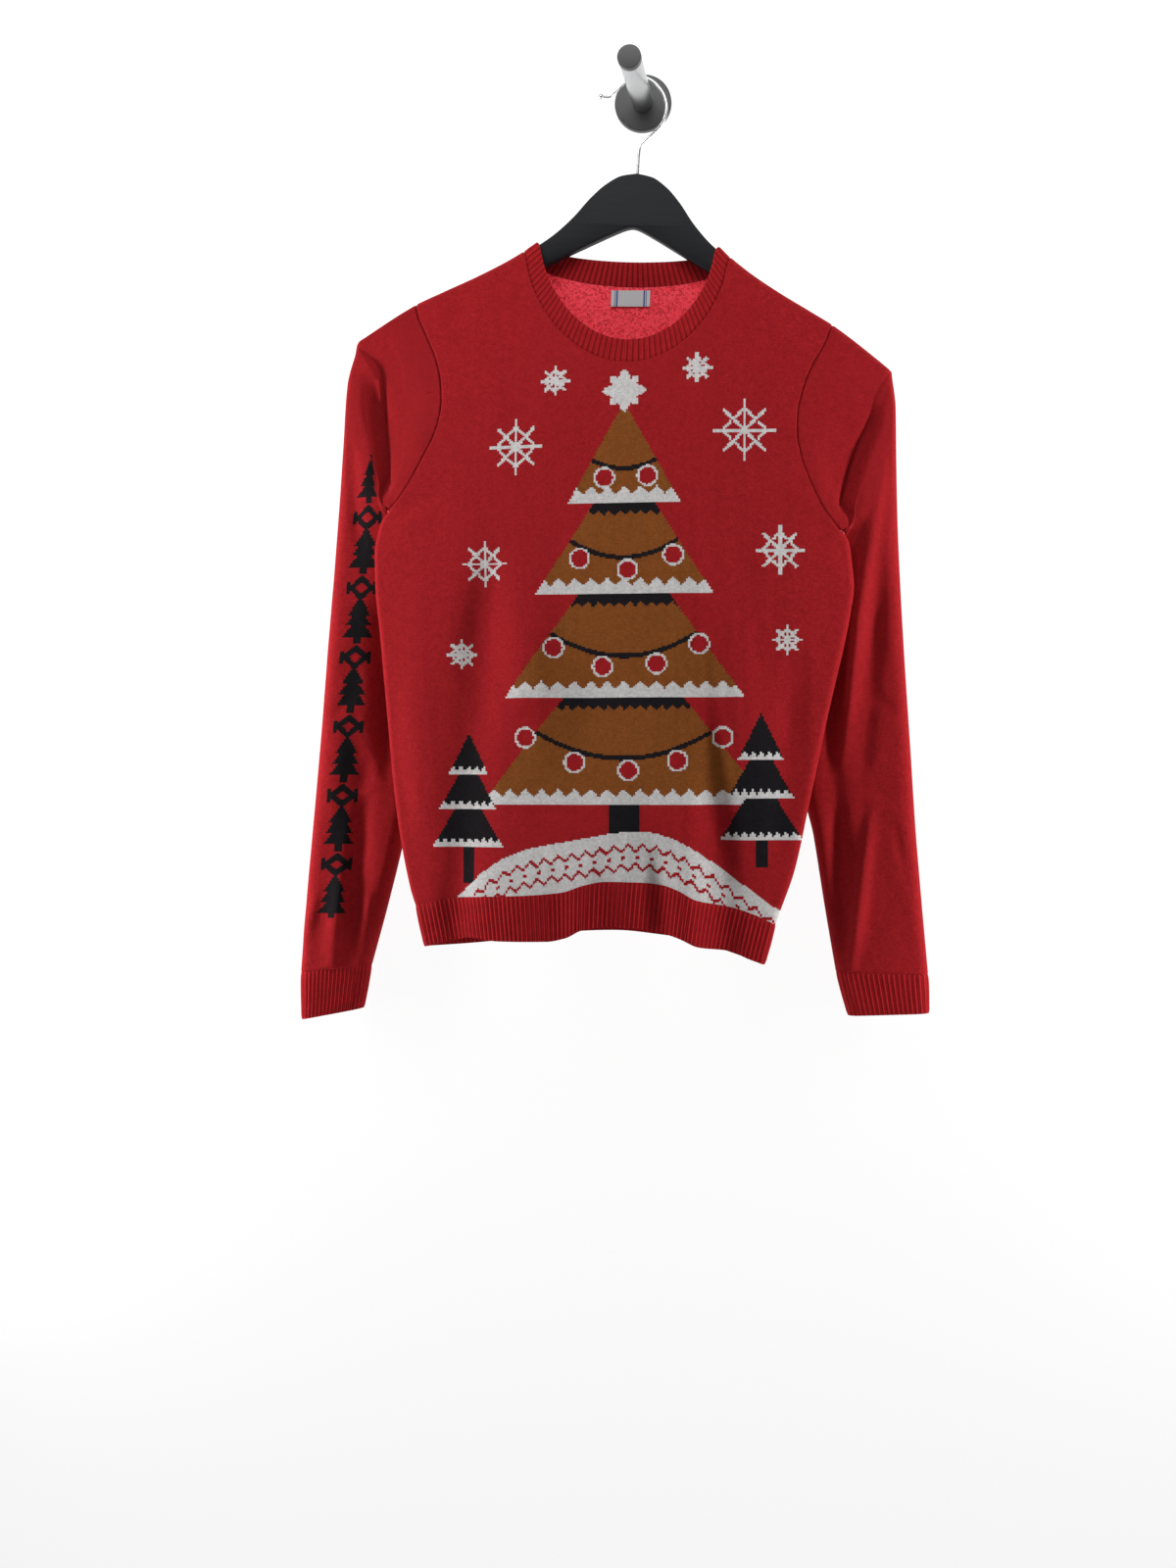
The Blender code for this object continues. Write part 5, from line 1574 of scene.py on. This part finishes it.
def sleeve_coordinates(side, outer):
    """Stitch coordinates of a sleeve: round it from its outer edge or its picture's line."""
    steps = np.linalg.norm(np.diff(outer, axis=1, append=outer[:, :1]), axis=-1)
    u = np.concatenate([np.zeros((len(outer), 1)), np.cumsum(steps, axis=1)[:, :-1]], axis=1)
    if side == "right":
        half = outer.shape[1] // 2
        shift = []
        for ring, length in zip(outer[:, :half], u):
            line = np.interp(-ring[:, 2], -SLEEVE_COLUMN["height"], SLEEVE_COLUMN["x"])
            shift.append(-length[int(np.argmin(np.abs(ring[:, 0] - line)))])
        kernel = np.ones(2 * COLUMN_EASE + 1) / (2 * COLUMN_EASE + 1)
        shift = np.convolve(np.pad(shift, COLUMN_EASE, mode="edge"), kernel, mode="valid")
        u = u + shift[:, None]
    return np.stack([u, outer[..., 2]], -1)


def build_cloth():
    """Every knitted piece."""
    front_knit = knit_material("knit_front_picture", RED, front_picture)
    plain_knit = knit_material("knit_plain", RED)
    sleeve_knit = knit_material("knit_sleeve_picture", RED, sleeve_picture)
    # The wrong side's lighter red is painted light, for light let through the knit from behind
    wrong_side = knit_material("knit_wrong_side", PURL_RED_PAINTED_GLOW, purl=True)
    # Painted shade for a sleeve's rows along its armhole seam
    seam = knit_material("knit_seam_shade", SEAM_PAINTED_SHADE_RED)
    rib = rib_material("knit_rib", DEEP_RED)
    panels, pieces = {}, {}
    for face, material in (("front", front_knit), ("back", plain_knit)):
        outer, inner, columns, net = panel_walls(face)
        panels[face] = outer, inner, columns
        turned = face == "front"
        pieces[face] = cloth_object("knit_" + face, (outer, inner), net, [material, wrong_side],
                                    turned=turned)
        band = hem_walls(face, outer[-1], inner[-1])
        pieces["hem_" + face] = cloth_object(
            "rib_hem_" + face, band, band_coordinates(band, BAND_HEIGHT["hem"]), [rib] * 2,
            turned=turned)
    band = neck_walls(panels)
    pieces["neck"] = cloth_object(
        "rib_neck", band, band_coordinates(band, BAND_HEIGHT["neck"]), [rib] * 2, closed=True)
    for side, material in (("right", sleeve_knit), ("left", plain_knit)):
        outer, inner, stations = sleeve_walls(side)
        turned = side == "right"
        cap = outer[:, outer.shape[1] // 4, 0] > CAP_END
        # Rows nearer than SEAM_SHADE to the armhole seam take the material of painted shade
        pieces[side + "_sleeve"] = cloth_object(
            "knit_%s_sleeve" % side, (outer, inner), sleeve_coordinates(side, outer),
            [material, wrong_side, seam, plain_knit], closed=True, turned=turned,
            seam_shade_rows=int(np.searchsorted(stations, SEAM_SHADE)),
            plain_rows=int(cap.sum()) if side == "right" else 0)
        band = cuff_walls(side, outer[-1], inner[-1])
        pieces[side + "_cuff"] = cloth_object(
            "rib_%s_cuff" % side, band, band_coordinates(band, BAND_HEIGHT["cuff"]), [rib] * 2,
            closed=True, turned=turned)
    return pieces


def declare_cloth(pieces):
    """Hides the solid that each knitted piece stands for; each row gives the piece, its solid, its
    slot and the size it was cut to.
    """
    rows = (
        ("front", "front_panel", "red_knit", (0.42, 0.59), 0.19),
        ("back", "back_panel", "red_knit", (0.42, 0.59), 0.2),
        ("hem_front", "hem_rib_front", "red_rib", (0.34, 0.04), None),
        ("hem_back", "hem_rib_back", "red_rib", (0.34, 0.04), None),
        ("neck", "neckband", "red_rib", (0.47, 0.02), None),
        ("right_sleeve", "right_sleeve", "red_knit", (0.41, 0.62), 0.097),
        ("left_sleeve", "left_sleeve", "red_knit", (0.40, 0.58), 0.093),
        ("right_cuff", "right_cuff", "red_rib", (0.145, 0.04), None),
        ("left_cuff", "left_cuff", "red_rib", (0.17, 0.036), None))
    for key, node, slot, flat, area in rows:
        stands_for(pieces[key], node)


# Surroundings
STAGE_GREY = (0.72, 0.72, 0.725)
STAGE_WALL = (0.10, 0.10, 0.10)
STAGE_HALF = 3200.0
STAGE_TOP = 1500.0
STAGE_FLOOR = -1500.0
STAGE_BEND = 160.0
STAGE_BACK = 1.0


def stage_graph():
    """White of the surroundings: an overexposed wall above a pale floor, clear from behind."""
    graph = Graph("wall_white", 0.9, Specular_IOR_Level=0.1, Emission_Color=(1.0, 1.0, 1.0, 1.0))
    _, forward, height = graph.parts(graph.node("ShaderNodeTexCoord").outputs["Object"])
    wall = (forward * 5 + 1).least(1) * ((forward * 5 + 1) > 0)
    glow = ((height + 1.15) * 0.13 + 0.885).least(1.02)
    graph.paint(graph.mix(wall, STAGE_GREY, STAGE_WALL))
    graph.put(graph.shader.inputs["Emission Strength"], wall * glow)
    joined = graph.node("ShaderNodeMixShader")
    graph.link(graph.node("ShaderNodeNewGeometry").outputs["Backfacing"], joined.inputs[0])
    graph.link(graph.shader.outputs[0], joined.inputs[1])
    graph.link(graph.node("ShaderNodeBsdfTransparent").outputs[0], joined.inputs[2])
    graph.link(joined.outputs[0], graph.tree.nodes["Material Output"].inputs["Surface"])
    return graph


def build_stage():
    """Wall and floor as one sweep, which faces the camera."""
    line = [(STAGE_BACK, STAGE_TOP)]
    for angle in np.linspace(0, math.pi / 2, 13):
        line.append((STAGE_BACK - STAGE_BEND * (1 - math.cos(angle)),
                     STAGE_FLOOR + STAGE_BEND * (1 - math.sin(angle))))
    line.append((-STAGE_HALF, STAGE_FLOOR))
    points = [(x, y, z) for y, z in line for x in (-STAGE_HALF, STAGE_HALF)]
    faces = [(2 * i, 2 * i + 2, 2 * i + 3, 2 * i + 1) for i in range(len(line) - 1)]
    mesh = bpy.data.meshes.new("sweep")
    mesh.from_pydata((np.array(points) * METRES).tolist(), [], faces)
    mesh.materials.append(stage_graph().material)
    mesh.shade_smooth()
    sweep = bpy.data.objects.new("sweep", mesh)
    bpy.context.scene.collection.objects.link(sweep)


# Each lamp's name, place, target, size in metres and power in watts
LIGHTS = (
    ("top", (-0.10, -0.45, 0.25), (-0.03, -0.04, -0.25), (1.0, 0.3), 3.5),
    ("side_left", (-0.70, -0.185, -0.56), (-0.2, -0.05, -0.56), (0.08, 0.9), 5.6),
    ("side_right", (0.66, -0.185, -0.54), (0.16, -0.05, -0.54), (0.08, 0.9), 4.2),
    ("front", (0.6, -2.4, 0.4), (-0.03, -0.04, -0.45), (1.2, 1.2), 0.5))
WORLD_STRENGTH = 0.06


def build_lights():
    """Studio light from above and along both sides, with a weak one in front."""
    world = bpy.data.worlds.new("studio")
    world.use_nodes = True
    background = world.node_tree.nodes["Background"]
    background.inputs[0].default_value = (1.0, 1.0, 1.0, 1.0)
    background.inputs[1].default_value = WORLD_STRENGTH
    bpy.context.scene.world = world
    for name, place, target, size, power in LIGHTS:
        lamp = bpy.data.lights.new(name, "AREA")
        lamp.shape = "RECTANGLE"
        lamp.size, lamp.size_y = size
        lamp.energy = power
        light = bpy.data.objects.new(name, lamp)
        light.location = place
        heading = Vector(np.array(target) - np.array(place))
        light.rotation_euler = heading.to_track_quat("-Z", "Y").to_euler()
        light.visible_camera = False
        bpy.context.scene.collection.objects.link(light)


CAMERA_PLACE = (0.1761, -1.64025, -0.5998)
CAMERA_TURN = math.radians(7.83)
CAMERA_LENS = 42.86
CAMERA_SENSOR = 36.0


def build_camera():
    """The photo's level camera, a little to the right and turned left."""
    data = bpy.data.cameras.new("camera")
    data.lens = CAMERA_LENS
    data.sensor_width = CAMERA_SENSOR
    camera = bpy.data.objects.new("camera", data)
    camera.location = CAMERA_PLACE
    camera.rotation_euler = (math.pi / 2, 0, CAMERA_TURN)
    bpy.context.scene.collection.objects.link(camera)
    bpy.context.scene.camera = camera


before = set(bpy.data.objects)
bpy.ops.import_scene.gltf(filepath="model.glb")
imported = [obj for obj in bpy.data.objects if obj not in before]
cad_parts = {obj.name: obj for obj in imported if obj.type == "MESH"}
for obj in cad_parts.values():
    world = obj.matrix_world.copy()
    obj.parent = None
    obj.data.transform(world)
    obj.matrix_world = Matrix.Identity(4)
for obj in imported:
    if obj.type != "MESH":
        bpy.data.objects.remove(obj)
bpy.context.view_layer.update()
build_camera()
declare_cloth(build_cloth())
label = label_piece()
stands_for(label, "neck_label")
stands_for(hanger_piece(wood_material()), "hanger_body")
stands_for(hook_piece(steel_material("wire_steel", WIRE_STEEL, 0.16, (1, 1, 1))),
           "hanger_hook")
peg_pieces()
build_stage()
build_lights()
bpy.context.scene.view_settings.view_transform = "Standard"
